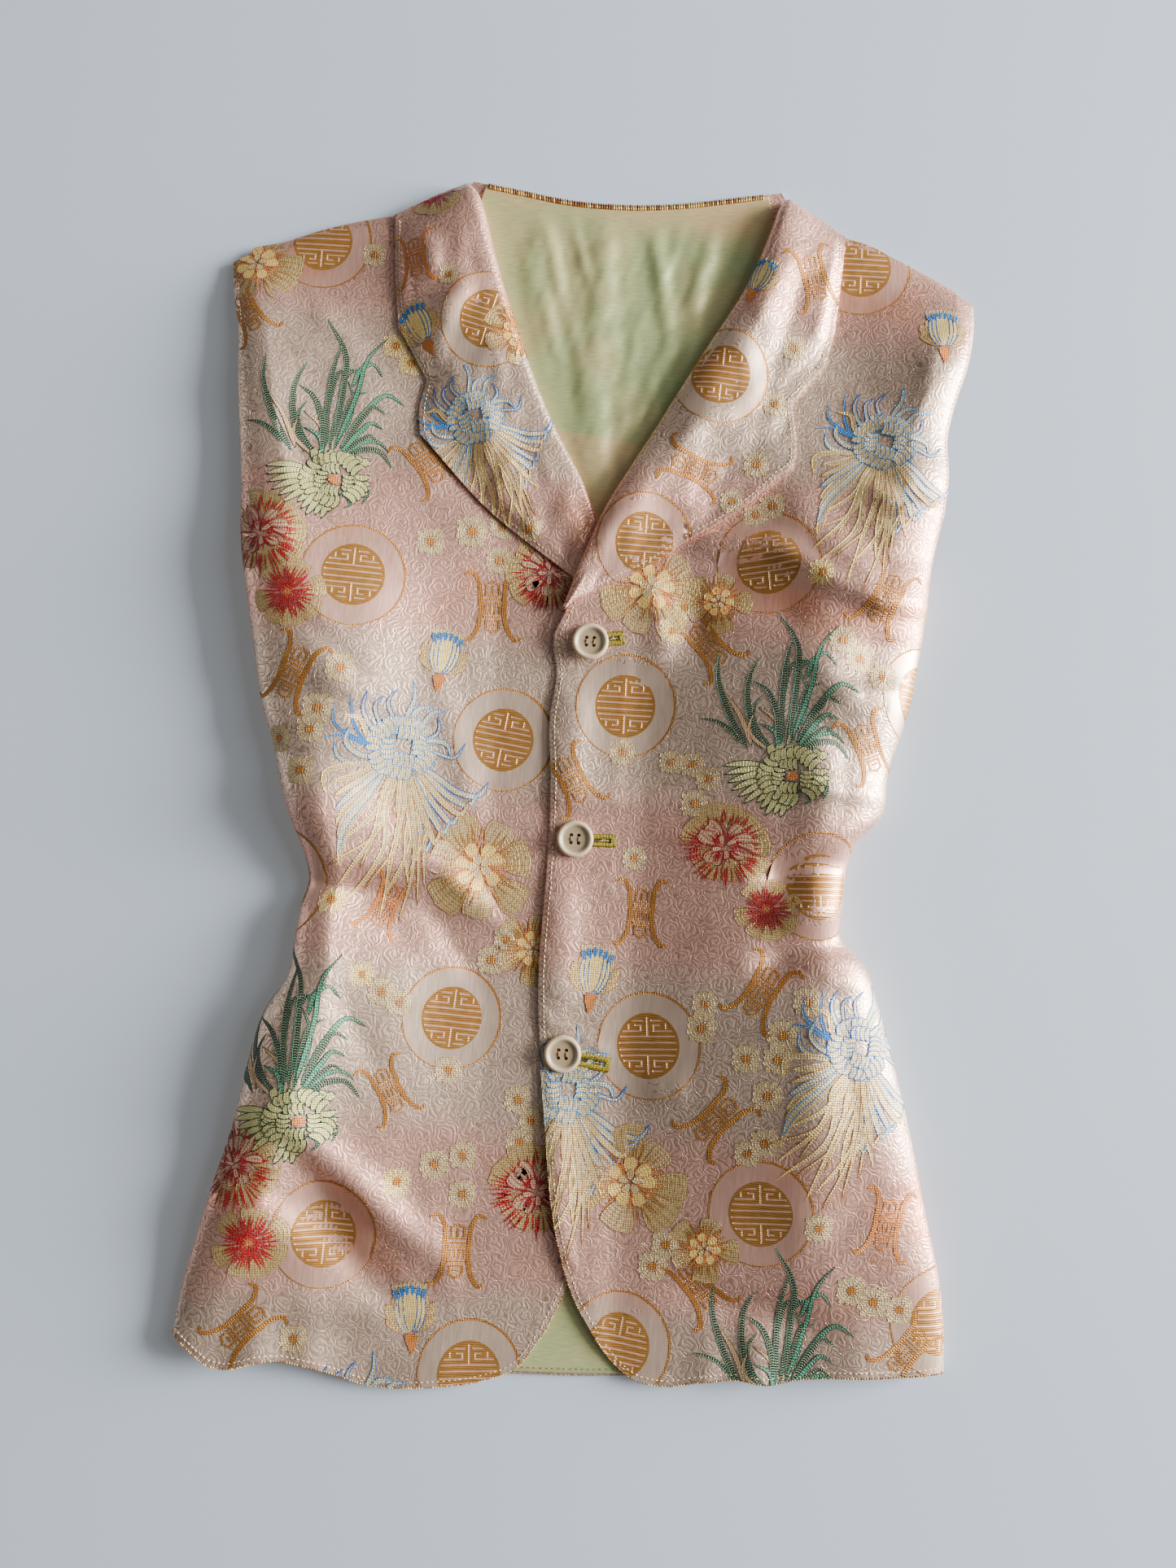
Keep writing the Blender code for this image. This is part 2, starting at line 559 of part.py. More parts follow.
def build_buttons():
    """Three buttons on the upper front, each a turned disc with four holes."""
    for name, x, y in BUTTONS:
        angles = np.linspace(0, 2 * math.pi, 24, endpoint=False)
        ring_x = x + BUTTON_RADIUS * np.cos(angles)
        ring_y = y + BUTTON_RADIUS * np.sin(angles)
        seat = front_level(RIGHT, np.append(ring_x, x), np.append(ring_y, y)).max() + CLOTH / 2 + GAP
        mesh = bpy.data.meshes.new(name)
        points = [(radius * MM, 0.0, height * MM) for radius, height in BUTTON_PROFILE]
        mesh.from_pydata(points, [(i, i + 1) for i in range(len(points) - 1)], [])
        button = mesh_object(name, mesh, "button_horn")
        button.location = ((x + SHIFT[0]) * MM, (y + SHIFT[1]) * MM, seat * MM)
        screw = button.modifiers.new("turn", "SCREW")
        screw.steps = screw.render_steps = 32
        screw.use_merge_vertices = True
        screw.merge_threshold = 1e-6
        screw.use_smooth_shade = True
        holes = button.modifiers.new("holes", "BOOLEAN")
        holes.operation = "DIFFERENCE"
        holes.object = button_cutter(name + "_holes", button.location)


def button_cutter(name, place):
    """Four upright pins in a square, which cut a button's holes."""
    mesh = bpy.data.meshes.new(name)
    shape = bmesh.new()
    for i in (-1, 1):
        for j in (-1, 1):
            made = bmesh.ops.create_cone(
                shape, cap_ends=True, segments=10, depth=12 * MM,
                radius1=HOLE_RADIUS * MM, radius2=HOLE_RADIUS * MM,
            )
            move = (i * HOLE_SPACING / 2 * MM, j * HOLE_SPACING / 2 * MM, 0.0)
            bmesh.ops.translate(shape, verts=made["verts"], vec=move)
    shape.to_mesh(mesh)
    shape.free()
    cutter = bpy.data.objects.new(name, mesh)
    cutter.location = place
    cutter.hide_render = True
    cutter.display_type = "WIRE"
    bpy.data.collections["Cutters"].objects.link(cutter)
    return cutter


def main():
    for thing in list(bpy.data.objects):
        bpy.data.objects.remove(thing)
    for name in ("Jacquard waistcoat", "Cutters"):
        bpy.context.scene.collection.children.link(bpy.data.collections.new(name))
    build_back()
    build_lining()
    build_fronts()
    build_lapels()
    build_buttons()


main()
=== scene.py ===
import json
import math
import random

import bmesh
import bpy
import numpy as np
from mathutils import Matrix, Vector
from mathutils.bvhtree import BVHTree
from mathutils.geometry import barycentric_transform

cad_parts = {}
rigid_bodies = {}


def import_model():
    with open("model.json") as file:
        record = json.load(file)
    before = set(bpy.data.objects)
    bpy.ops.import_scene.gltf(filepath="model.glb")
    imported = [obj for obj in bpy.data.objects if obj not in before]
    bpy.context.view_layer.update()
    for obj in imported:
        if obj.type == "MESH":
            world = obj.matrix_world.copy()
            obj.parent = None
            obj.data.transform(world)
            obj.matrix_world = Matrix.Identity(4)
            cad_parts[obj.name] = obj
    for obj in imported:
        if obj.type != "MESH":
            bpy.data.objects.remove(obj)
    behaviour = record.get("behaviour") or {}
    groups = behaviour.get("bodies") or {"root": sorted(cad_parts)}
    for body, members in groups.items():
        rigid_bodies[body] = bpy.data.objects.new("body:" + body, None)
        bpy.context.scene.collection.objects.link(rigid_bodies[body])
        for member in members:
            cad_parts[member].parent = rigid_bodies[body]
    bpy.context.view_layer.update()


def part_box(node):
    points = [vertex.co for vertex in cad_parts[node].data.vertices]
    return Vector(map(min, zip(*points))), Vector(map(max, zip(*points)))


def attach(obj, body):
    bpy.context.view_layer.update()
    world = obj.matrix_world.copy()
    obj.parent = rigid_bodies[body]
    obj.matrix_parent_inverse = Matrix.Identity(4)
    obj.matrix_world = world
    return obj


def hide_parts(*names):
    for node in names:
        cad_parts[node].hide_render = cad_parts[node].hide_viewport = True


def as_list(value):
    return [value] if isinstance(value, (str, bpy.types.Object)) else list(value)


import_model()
print("frame loaded")

mm = 0.001
left, right = -1, 1

# All lengths are millimetres in the garment's own frame: x to the viewer's right, y to the neck.
# "Outward" x is measured from the closure to the side of a piece.
garment = {
    "cloth": 1.2, "silk": 1.0, "gap": 0.3, "shift": (6.48, -9.91),
    "shoulderRoll": 12.0, "riseStart": {left: 0.25, right: 0.15}, "widestLevel": 0.42,
    "overlapX": (32.0, 15.0), "overlapY": (200.0, 160.0),
    "humpX": (58.0, 16.0), "humpFoot": (46.0, 84.0), "humpHead": (196.0, 146.0), "humpHeight": 5.0,
    "lapelRoom": 0.3, "hemWaveReach": 45.0,
    "frontRows": 168, "frontColumns": 62, "rollColumns": 22,
    "lapelRows": 84, "lapelColumns": 30, "turnColumns": 14,
    "unevenness": 0.14, "pucker": 0.3, "puckerInset": 4.5, "puckerWidth": 3.0,
    "rollBulge": {left: 0.6, right: 2.8}, "freeX": (24, 60), "calmY": (286, 262),
    "turnShare": 0.08, "closeRows": (0.03, 0.985), "lapelPuff": 0.5, "backHemHalf": 176, "rim": 0.42,
}
layer = garment["cloth"] + garment["gap"]
seamLevel = layer + garment["cloth"] / 2
restHeight = seamLevel + garment["silk"] + garment["gap"]

# y, half width left and right, height of the swelling, width of the roll, tuck of the seam, bend
sectionNames = ("y", "left", "right", "crown", "roll", "tuck", "bend")
sectionRows = (
    (266, 205.0, 190.0, 4.0, 10, 6, 80), (250, 202.0, 189.5, 6.0, 12, 6, 80),
    (232, 198.0, 186.5, 8.5, 15, 6, 80), (205, 195.5, 179.0, 12.0, 18, 6, 80),
    (190, 194.0, 176.5, 13.5, 20, 6, 80), (170, 191.5, 177.5, 16.0, 22, 6, 80),
    (150, 189.0, 175.5, 18.5, 24, 6, 80), (130, 187.5, 172.0, 20.0, 25, 6, 105),
    (110, 185.0, 169.0, 21.5, 26, 6, 150), (85, 180.3, 167.0, 22.0, 27, 7, 180),
    (60, 175.0, 163.5, 22.0, 27, 8, 180), (32, 169.0, 157.0, 21.5, 26, 8, 180),
    (10, 161.0, 151.0, 20.5, 24, 8, 180), (-8, 156.0, 149.5, 19.5, 22, 8, 180),
    (-25, 150.0, 136.0, 17.5, 19, 7, 180), (-40, 143.0, 132.5, 16.0, 17, 6, 180),
    (-55, 138.3, 131.0, 15.5, 16, 5, 180), (-70, 141.0, 130.5, 16.0, 16, 5, 180),
    (-85, 142.5, 143.5, 17.5, 18, 5, 180), (-103, 144.0, 150.5, 19.5, 21, 5, 180),
    (-125, 155.0, 157.5, 21.0, 25, 6, 180), (-150, 161.0, 165.0, 21.5, 27, 7, 180),
    (-180, 166.0, 173.0, 20.5, 28, 7, 180), (-210, 174.0, 180.5, 18.0, 27, 6, 180),
    (-240, 181.5, 188.0, 15.5, 24, 5, 180), (-262, 186.4, 191.0, 13.0, 21, 4, 180),
    (-283, 189.4, 191.6, 11.0, 18, 3, 180),
)
shoulders = {
    left: ((81, 321), (95, 308), (120, 300), (143, 294), (160, 288.6), (179, 281), (198, 275), (205, 268)),
    right: ((87, 322), (104, 309), (120, 301), (134, 297), (147, 291), (166, 282), (186, 270), (190, 266)),
}
rolls = {  # fold line of each lapel: outward x, y, radius
    left: (
        (80, 319, 4.0), (74, 306, 5.0), (66, 280, 5.0), (48, 230, 4.0), (29, 188, 3.0),
        (12, 158.5, 2.0), (2.7, 137, 1.5), (-6, 113, 1.2), (-11, 90, 1.1),
    ),
    right: (
        (86, 320, 4.0), (79, 296, 5.0), (68, 267, 4.5), (53, 240, 4.0), (33, 204, 3.3),
        (14, 169, 2.6), (-1, 140, 2.0), (-10, 116, 1.6), (-18.5, 90, 1.2),
    ),
}
lapelEdges = {  # outward x, y, 1 at a corner
    left: (
        (120.4, 299, 1), (117.5, 262, 0), (114, 236, 1), (97, 208, 1), (99.8, 190, 0), (98.5, 178, 1),
        (59, 139, 0), (37, 123, 0), (18, 110, 0), (0, 98, 0), (-11, 91, 1),
    ),
    right: (
        (120.3, 300, 1), (119, 276, 0), (116, 245, 0), (111.5, 226, 1), (95, 205, 1), (98, 181, 0),
        (97, 171, 0), (90, 164.5, 0), (82, 156, 0), (62, 139.5, 0), (45, 129, 0), (26, 115, 0),
        (12, 107, 0), (-1, 100, 0), (-17, 91, 1),
    ),
}
frontEdges = {
    left: ((-11.5, 70), (-11.5, 0), (-11.5, -100), (-11.5, -200), (-8.5, -238), (-3, -254.6), (6, -275)),
    right: (
        (-22, 74), (-19.5, 57), (-21.5, 32), (-19, 0), (-18.5, -50), (-19.3, -100), (-16.4, -138),
        (-12, -171), (-4, -222), (7, -256), (20, -277),
    ),
}
hems = {
    left: (
        (189.4, -284), (182, -288), (174, -295.8), (163, -298.7), (145, -294.1), (125, -295.3),
        (109.5, -299.4), (96, -303.8), (59, -303.6), (33, -299), (20.8, -294), (6, -275),
    ),
    right: (
        (191.6, -281), (170, -283), (133, -286), (118, -288.3), (107, -291), (91, -290.3),
        (73, -292.8), (55, -296.6), (40, -294.7), (28, -286.5), (20, -277),
    ),
}
backNeck = ((-80, 322), (-54, 318), (-28, 314), (0, 313), (29, 315), (59, 320), (86, 325))
backHem = (
    (188, -277), (150, -282), (100, -287.5), (60, -292), (20, -295.5), (-15, -296.5),
    (-60, -297), (-110, -293), (-150, -289), (-186, -279),
)
folds = (  # side, x0, y0, x1, y1, half width, height: the large ones
    (left, 152, -172, 108, -226, 11, -4.5), (left, 141, -58, 92, -64, 8, -5.0),
    (left, 150, -18, 100, -30, 12, 2.5), (left, 118, -66, 84, -84, 7, -2.0),
    (left, 165, 120, 120, 20, 14, 2.5), (right, 134, -30, 92, -44, 8, -6.0),
    (right, 134, -68, 92, -86, 8, -5.0), (right, 140, -50, 100, -62, 7, 3.0),
    (right, 98, 150, 150, 96, 11, 3.5), (right, -17, -10, 48, -16, 7, 1.6),
    (right, 12, 62, 34, 66, 5, 1.0), (right, 60, -250, 130, -262, 9, -1.6),
)
swells = (  # the same columns: the broad forms that the light shows
    (right, 116, 106, 117, -206, 44, 5.0), (right, 66, 96, 62, -200, 22, 0.8),
    (right, 180, 262, 172, 130, 38, 7.5), (right, 120, 262, 112, 176, 18, -1.2),
    (left, 112, 130, 108, -20, 34, 1.0), (left, 124, 110, 112, 30, 20, 3.0),
    (left, 130, 6, 137, -60, 22, 3.4), (left, 138, -66, 134, -140, 22, 3.4),
    (left, 142, -140, 154, -226, 20, 4.2), (left, 166, 100, 150, 0, 14, -3.0),
    (left, 132, -90, 148, -160, 10, -1.5), (left, 40, 90, 34, -150, 14, -1.2),
    (left, 162, 230, 120, 190, 14, 1.5), (left, 192, 262, 188, 176, 32, 5.0),
    (left, 139, -178, 62, -241, 9, 4.4), (left, 156, -198, 84, -260, 9, -3.4),
    (left, 141, -265, 70, -270, 8, 1.6), (left, 117, -47, 78, -44, 5, 2.2), (left, 78, -44, 26, -86, 6, 2.6),
    (left, 90, -62, 32, -106, 9, -2.6), (left, 173, 44, 118, 31, 5, -1.8), (left, 155, 20, 118, 26, 4, 1.5),
    (left, 154, 6, 116, 1, 5, -1.6), (left, 144, -12, 115, -11, 4, 1.3), (left, 100, 170, 60, 120, 14, 1.2),
    (left, 96, -90, 84, -180, 18, 1.4), (right, 48, 128, 88, 127, 6, 3.2), (right, 88, 127, 122, 106, 7, 4.2),
    (right, 122, 106, 158, 92, 6, 3.4), (right, 106, 140, 150, 122, 8, -2.0),
    (right, 62, 108, 104, 92, 11, -2.8), (right, 143, 80, 146, 58, 15, -3.5),
    (right, 137, 156, 171, 137, 5, 2.2), (right, 116, 24, 120, -80, 13, 3.0),
    (right, 120, -86, 122, -184, 13, 2.6), (right, 116, -190, 128, -250, 14, 1.6),
    (right, 25, 106, 37, 66, 7, 1.8), (right, 46, 110, 54, 72, 7, -1.0), (right, -13, -5, 50, -6, 4, 1.3),
    (right, 0, -15, 62, -17, 4, -0.9), (right, 40, -153, 58, -151, 8, 1.2),
    (right, 122, -90, 140, -98, 4, 1.4), (right, 110, 2, 143, -1, 4, 1.6), (right, 108, 68, 146, 34, 8, 2.2),
    (right, 104, 44, 136, 14, 6, -1.4), (right, 130, 230, 150, 170, 16, -1.6),
    (right, 164, 240, 176, 180, 9, 2.0), (right, 126, 205, 152, 190, 5, 1.2),
)
puffs = (  # the over-lying edge stands up between the buttons
    (right, -10, 48, -10, -8, 10, 2.2), (right, -10, -50, -9, -116, 10, 2.4),
    (right, -8, -158, 0, -240, 10, 2.2),
)
lapelSwells = (
    (left, 90, 238, 78, 264, 7, 2.4), (left, 76, 270, 73, 246, 6, -1.2), (left, 104, 286, 96, 262, 6, 1.4),
    (left, 84, 214, 60, 180, 8, 1.2), (left, 60, 150, 34, 126, 6, 1.0), (left, 106, 288, 84, 206, 16, 4.4),
    (left, 82, 200, 34, 134, 12, 2.8), (right, 112, 292, 108, 238, 11, 3.2),
    (right, 36, 182, 60, 200, 6, 1.8), (right, 52, 168, 82, 186, 6, -0.8), (right, 62, 238, 78, 214, 7, 1.6),
    (right, 96, 280, 92, 244, 8, -0.9), (right, 30, 150, 52, 150, 5, 1.2), (right, 70, 262, 84, 236, 6, 1.2),
)
fineFolds = (  # small creases and drags
    (right, -19, 59, 8, 68, 2.6, -0.9), (right, -17, -120, 18, -137, 3.2, 0.8),
    (right, 96, -12, 126, -4, 4.5, -1.0), (right, 110, 40, 150, 62, 5.0, 0.9),
    (right, 118, 186, 160, 150, 6.0, -1.4), (right, 126, -112, 88, -120, 5.0, 1.1),
    (right, 150, -196, 118, -236, 6.0, -1.0), (right, 30, -268, 60, -250, 4.0, 0.6),
    (left, 150, 76, 120, 50, 5.0, -1.2), (left, 84, 60, 56, -20, 7.0, 0.9),
    (left, 172, 190, 148, 140, 6.0, -1.3), (left, 160, 250, 130, 214, 6.0, 1.0),
    (left, 120, -110, 96, -150, 6.0, -0.8), (left, 70, -206, 52, -262, 6.0, 0.8),
    (left, 98, -246, 70, -284, 6.0, -0.8), (left, 184, 250, 150, 236, 4.0, 0.9),
    (left, 190, 222, 166, 216, 3.0, -0.7), (right, 176, 250, 160, 214, 4.0, 0.8),
)
hemWaveRows = {
    left: ((147, 12, 3.5), (122, 10, 2.5), (60, 22, 1.5)),
    right: ((150, 16, 2.5), (99, 9, 2.5), (75, 8, 1.5)),
}


# Shapes of the cloth
def columns(names, rows):
    return {name: np.array([row[i] for row in rows], float) for i, name in enumerate(names)}


section = columns(sectionNames, sectionRows[::-1])


def smooth(t):
    t = np.clip(t, 0.0, 1.0)
    return t * t * (3.0 - 2.0 * t)


def ramp(value, start, end):
    return smooth((value - start) / (end - start))


def bell(t):
    return np.exp(-(t**2))


def fadeEnds(t, reach, past=0.0):
    # 1 along most of a run from 0 to 1, and down to 0 at its ends or a little past them
    return smooth((t + past) / reach) * smooth((1 + past - t) / reach)


def hermite(start, end, leaving, arriving, t):
    # from start to end, with these slopes at the two ends
    run = start * (1 + 2 * t) * (1 - t) ** 2 + end * t * t * (3 - 2 * t)
    return run + leaving * t * (1 - t) ** 2 - arriving * t * t * (1 - t)


def unit(rows):
    return rows / np.maximum(np.linalg.norm(rows, axis=-1), 1e-9)[..., None]


def ripple(x, y, size, seed):
    # soft unevenness: a few waves of about this length that run all ways
    rng = random.Random(seed)
    count = 7
    total = 0.0
    for _ in range(count):
        heading, pace, phase = rng.uniform(0, 6.283), rng.uniform(0.7, 1.5), rng.uniform(0, 6.283)
        total = total + np.sin((x * math.cos(heading) + y * math.sin(heading)) * 6.283 * pace / size + phase)
    return total / count**0.5


def sectionAt(name, y):
    knots, values = section["y"], section[name]
    y = np.clip(y, knots[0], knots[-1])
    i = np.clip(np.searchsorted(knots, y) - 1, 0, len(knots) - 2)
    slopes = np.gradient(values, knots)
    width = knots[i + 1] - knots[i]
    t = (y - knots[i]) / width
    return hermite(values[i], values[i + 1], slopes[i] * width, slopes[i + 1] * width, t)


def halfWidth(side, y):
    return sectionAt("left" if side == left else "right", y)


def lineThrough(points, corners=(), steps=8):
    # a smooth line through the points that turns sharply only at the corners
    points = np.array(points, float)
    strides = np.diff(points, axis=0)
    lengths = np.linalg.norm(strides, axis=1)[:, None]
    slopes = strides / lengths
    bends = (slopes[:-1] * lengths[1:] + slopes[1:] * lengths[:-1]) / (lengths[1:] + lengths[:-1])
    t = np.linspace(0, 1, steps, endpoint=False)[:, None]
    runs = []
    for i in range(len(strides)):
        start = slopes[i] if i == 0 or i in corners else bends[i - 1]
        end = slopes[i] if i == len(strides) - 1 or i + 1 in corners else bends[i]
        runs.append(hermite(points[i], points[i + 1], lengths[i] * start, lengths[i] * end, t))
    return np.vstack(runs + [points[-1:]])


def lengthsAlong(line):
    return np.concatenate([[0], np.cumsum(np.linalg.norm(np.diff(line, axis=0), axis=1))])


def sample(line, reach, at):
    return np.stack([np.interp(at, reach, column) for column in line.T], axis=-1)


def shares(line):
    reach = lengthsAlong(line[:, :2])
    return reach / reach[-1]


def along(line, at):
    return sample(line, shares(line), at)


def lineNormals(line):
    tangents = unit(np.gradient(line, axis=0))
    return np.stack([-tangents[:, 1], tangents[:, 0]], axis=1)


def distanceTo(line, x, y):
    x, y = np.broadcast_arrays(np.asarray(x, float), np.asarray(y, float))
    best = np.full(x.shape, 1e9)
    for (ax, ay), (bx, by) in zip(line[:-1], line[1:]):
        dx, dy = bx - ax, by - ay
        t = np.clip(((x - ax) * dx + (y - ay) * dy) / (dx * dx + dy * dy), 0, 1)
        best = np.minimum(best, np.hypot(x - ax - t * dx, y - ay - t * dy))
    return best


def foldHeight(rows, side, x, y):
    total = np.zeros(np.broadcast(x, y).shape)
    for foldSide, x0, y0, x1, y1, width, height in rows:
        if foldSide == side:
            dx, dy = x1 - x0, y1 - y0
            length = math.hypot(dx, dy)
            t = ((x - x0) * dx + (y - y0) * dy) / length**2
            across = ((x - x0) * dy - (y - y0) * dx) / length
            total = total + height * bell(across / width) * fadeEnds(t, 0.5, 0.25)
    return total


def hemWaves(side, x, y):
    hem = lineThrough(hems[side])
    order = np.argsort(hem[:, 0])
    above = y - np.interp(x, hem[order, 0], hem[order, 1])
    waves = sum(height * bell((x - at) / width) for at, width, height in hemWaveRows[side])
    return smooth(1 - above / garment["hemWaveReach"]) * waves


def shoulderShare(side, x, y):
    # 0 on the shoulder's edge, where the cloth turns under, and 1 past its roll
    near = 1 - np.clip(distanceTo(lineThrough(shoulders[side]), x, y) / garment["shoulderRoll"], 0, 1)
    return np.sqrt(1 - near**2)


def restLevel(side, x, y):
    # the lowest level of a front: on the back, and on the right side also over the left front and lapel
    if side == left:
        return np.full(np.broadcast(x, y).shape, restHeight)
    g = garment
    overFront = (layer + 0.1) * ramp(x, *g["overlapX"]) * ramp(y, *g["overlapY"])
    overLapel = g["humpHeight"] * ramp(x, *g["humpX"]) * ramp(y, *g["humpFoot"]) * ramp(y, *g["humpHead"])
    return restHeight + np.maximum(overFront, overLapel)


def frontLevel(side, x, y):
    g = garment
    crownX = halfWidth(side, y) - sectionAt("roll", y)
    start = g["riseStart"][side]
    t = np.clip((x / crownX - start) / (1 - start), 0, 1)
    rise = 0.2 * smooth(t) + 0.8 * t**2 if side == left else 0.4 * smooth(t) + 0.6 * (1 - (1 - t) ** 1.7)
    rest = restLevel(side, x, y)
    level = rest + np.maximum(sectionAt("crown", y) - rest, 0) * rise
    level = np.maximum(level + foldHeight(folds, side, x, y) + hemWaves(side, x, y), rest)
    # small creases and general unevenness, which die out where the cloth lies on other cloth
    free = ramp(x, *g["freeX"])
    small = foldHeight(fineFolds + swells, side, x, y) * (free if side == left else 1.0)
    small = small * ramp(y, *g["calmY"]) + foldHeight(puffs, side, x, y)
    uneven = ripple(x, y, 52, 3 + side) + 0.4 * ripple(x, y, 21, 8 + side)
    level = np.maximum(level + small + g["unevenness"] * uneven * free, rest)
    return seamLevel + (level - seamLevel) * shoulderShare(side, x, y)


def puckers(line, x, y, waves, fade):
    # the sewn edge draws up in small puckers
    inset = distanceTo(line, x, y) - garment["puckerInset"]
    return garment["pucker"] * waves * bell(inset / garment["puckerWidth"]) * fade


def patch(top, bottom, inner, outer, across, down):
    # a grid of places between four edges
    u, v = across[None, :, None], down[:, None, None]
    top, bottom = along(top, across)[None], along(bottom, across)[None]
    inner, outer = inner[:, None], outer[:, None]
    corners = (1 - u) * (1 - v) * top[:, :1] + u * (1 - v) * top[:, -1:]
    corners = corners + (1 - u) * v * bottom[:, :1] + u * v * bottom[:, -1:]
    return (1 - v) * top + v * bottom + (1 - u) * inner + u * outer - corners


def crestLine(side):
    # the crest of a lapel's fold: place, radius, and the direction away from the closure
    roll = lineThrough(rolls[side])
    normals = lineNormals(roll[:, :2])
    offset = (roll[:, 2] + garment["cloth"] / 2)[:, None]
    return np.hstack([roll[:, :2] + offset * normals, roll[:, 2:], normals])


def sideLine(side):
    y = section["y"][::-1]
    points = np.stack([halfWidth(side, y), y], axis=1)
    points[0] = shoulders[side][-1]
    points[-1] = hems[side][0]
    return lineThrough(points)


def rollHeadings(side, down):
    # which way the cloth rolls at each row: outwards, and along the shoulder and the hem at the ends
    tip, before = np.array(shoulders[side][-1]), np.array(shoulders[side][-3])
    corner, hem = np.array(hems[side][0]), lineThrough(hems[side])
    foot = hem[np.argmin(np.abs(hem[:, 0] - corner[0] + sectionAt("roll", corner[1])))]
    atTop = smooth(1 - down / garment["turnShare"])[:, None]
    atBottom = smooth((down - 1) / garment["turnShare"] + 1)[:, None]
    outwards = np.array([1.0, 0.0]) * (1 - atTop - atBottom)
    return unit(unit(tip - before) * atTop + unit(corner - foot) * atBottom + outwards)


def rolledSide(crown, edge, heading):
    # the side of a front: over the crown, down to its widest and back under to the seam
    y = edge[:, 1]
    bend = np.radians(sectionAt("bend", y))
    tuck = sectionAt("tuck", y)
    top = crown[:, 2]
    widest = seamLevel + garment["widestLevel"] * (top - seamLevel)
    reach = np.linalg.norm(edge - crown[:, :2], axis=1) / np.sin(np.minimum(bend, math.pi / 2))
    result, flat = [], []
    length, last = np.zeros(len(y)), crown
    for share in np.linspace(0, 1, garment["rollColumns"] + 1)[1:]:
        angle = share * bend
        over = np.minimum(angle, math.pi / 2)
        under = np.maximum(angle - math.pi / 2, 0)
        out = reach * np.sin(over) - tuck * (1 - np.cos(under))
        level = widest + (top - widest) * np.cos(over) - (widest - seamLevel) * np.sin(under)
        point = np.column_stack([crown[:, :2] + out[:, None] * heading, level])
        length = length + np.linalg.norm(point - last, axis=1)
        last = point
        result.append(point)
        flat.append(crown[:, :2] + length[:, None] * heading)
    return np.stack(result, axis=1), np.stack(flat, axis=1)


def frontGrid(side):
    # rows from the shoulder to the hem, columns from the closure to the seam; with flat places of the cloth
    ends = garment["closeRows"]
    down = np.concatenate([
        np.linspace(0, ends[0], 9)[:-1], np.linspace(*ends, garment["frontRows"]),
        np.linspace(ends[1], 1, 5)[1:],
    ])
    across = np.linspace(0, 1, garment["frontColumns"]) ** 1.15
    crest = crestLine(side)
    inner = lineThrough(np.vstack([crest[::8, :2] + 2 * garment["gap"] * crest[::8, 3:5], frontEdges[side]]))
    edge = along(sideLine(side), down)
    heading = rollHeadings(side, down)
    crown = edge - sectionAt("roll", edge[:, 1])[:, None] * heading
    shoulder = lineThrough(shoulders[side])
    start = np.argmin(np.linalg.norm(shoulder - inner[0], axis=1)) + 1
    end = np.searchsorted(shoulder[:, 0], crown[0, 0])
    top = np.vstack([inner[:1], shoulder[start:end], crown[:1]])
    hem = lineThrough(hems[side])[::-1]
    bottom = np.vstack([hem[hem[:, 0] < crown[-1, 0]], crown[-1:]])
    flat = patch(top, bottom, along(inner, down), crown, across, down)
    x, y = flat[..., 0], flat[..., 1]
    waves = 0.6 + ripple(x * 0.4, y * 1.6, 9, 31 + side)
    level = frontLevel(side, x, y) + puckers(inner[::3], x, y, waves, ramp(y, 100, 60))
    panel = np.stack([x, y, level], axis=-1)
    rolled, rolledFlat = rolledSide(panel[:, -1], edge, heading)
    return np.concatenate([panel, rolled], axis=1), np.concatenate([flat, rolledFlat], axis=1)


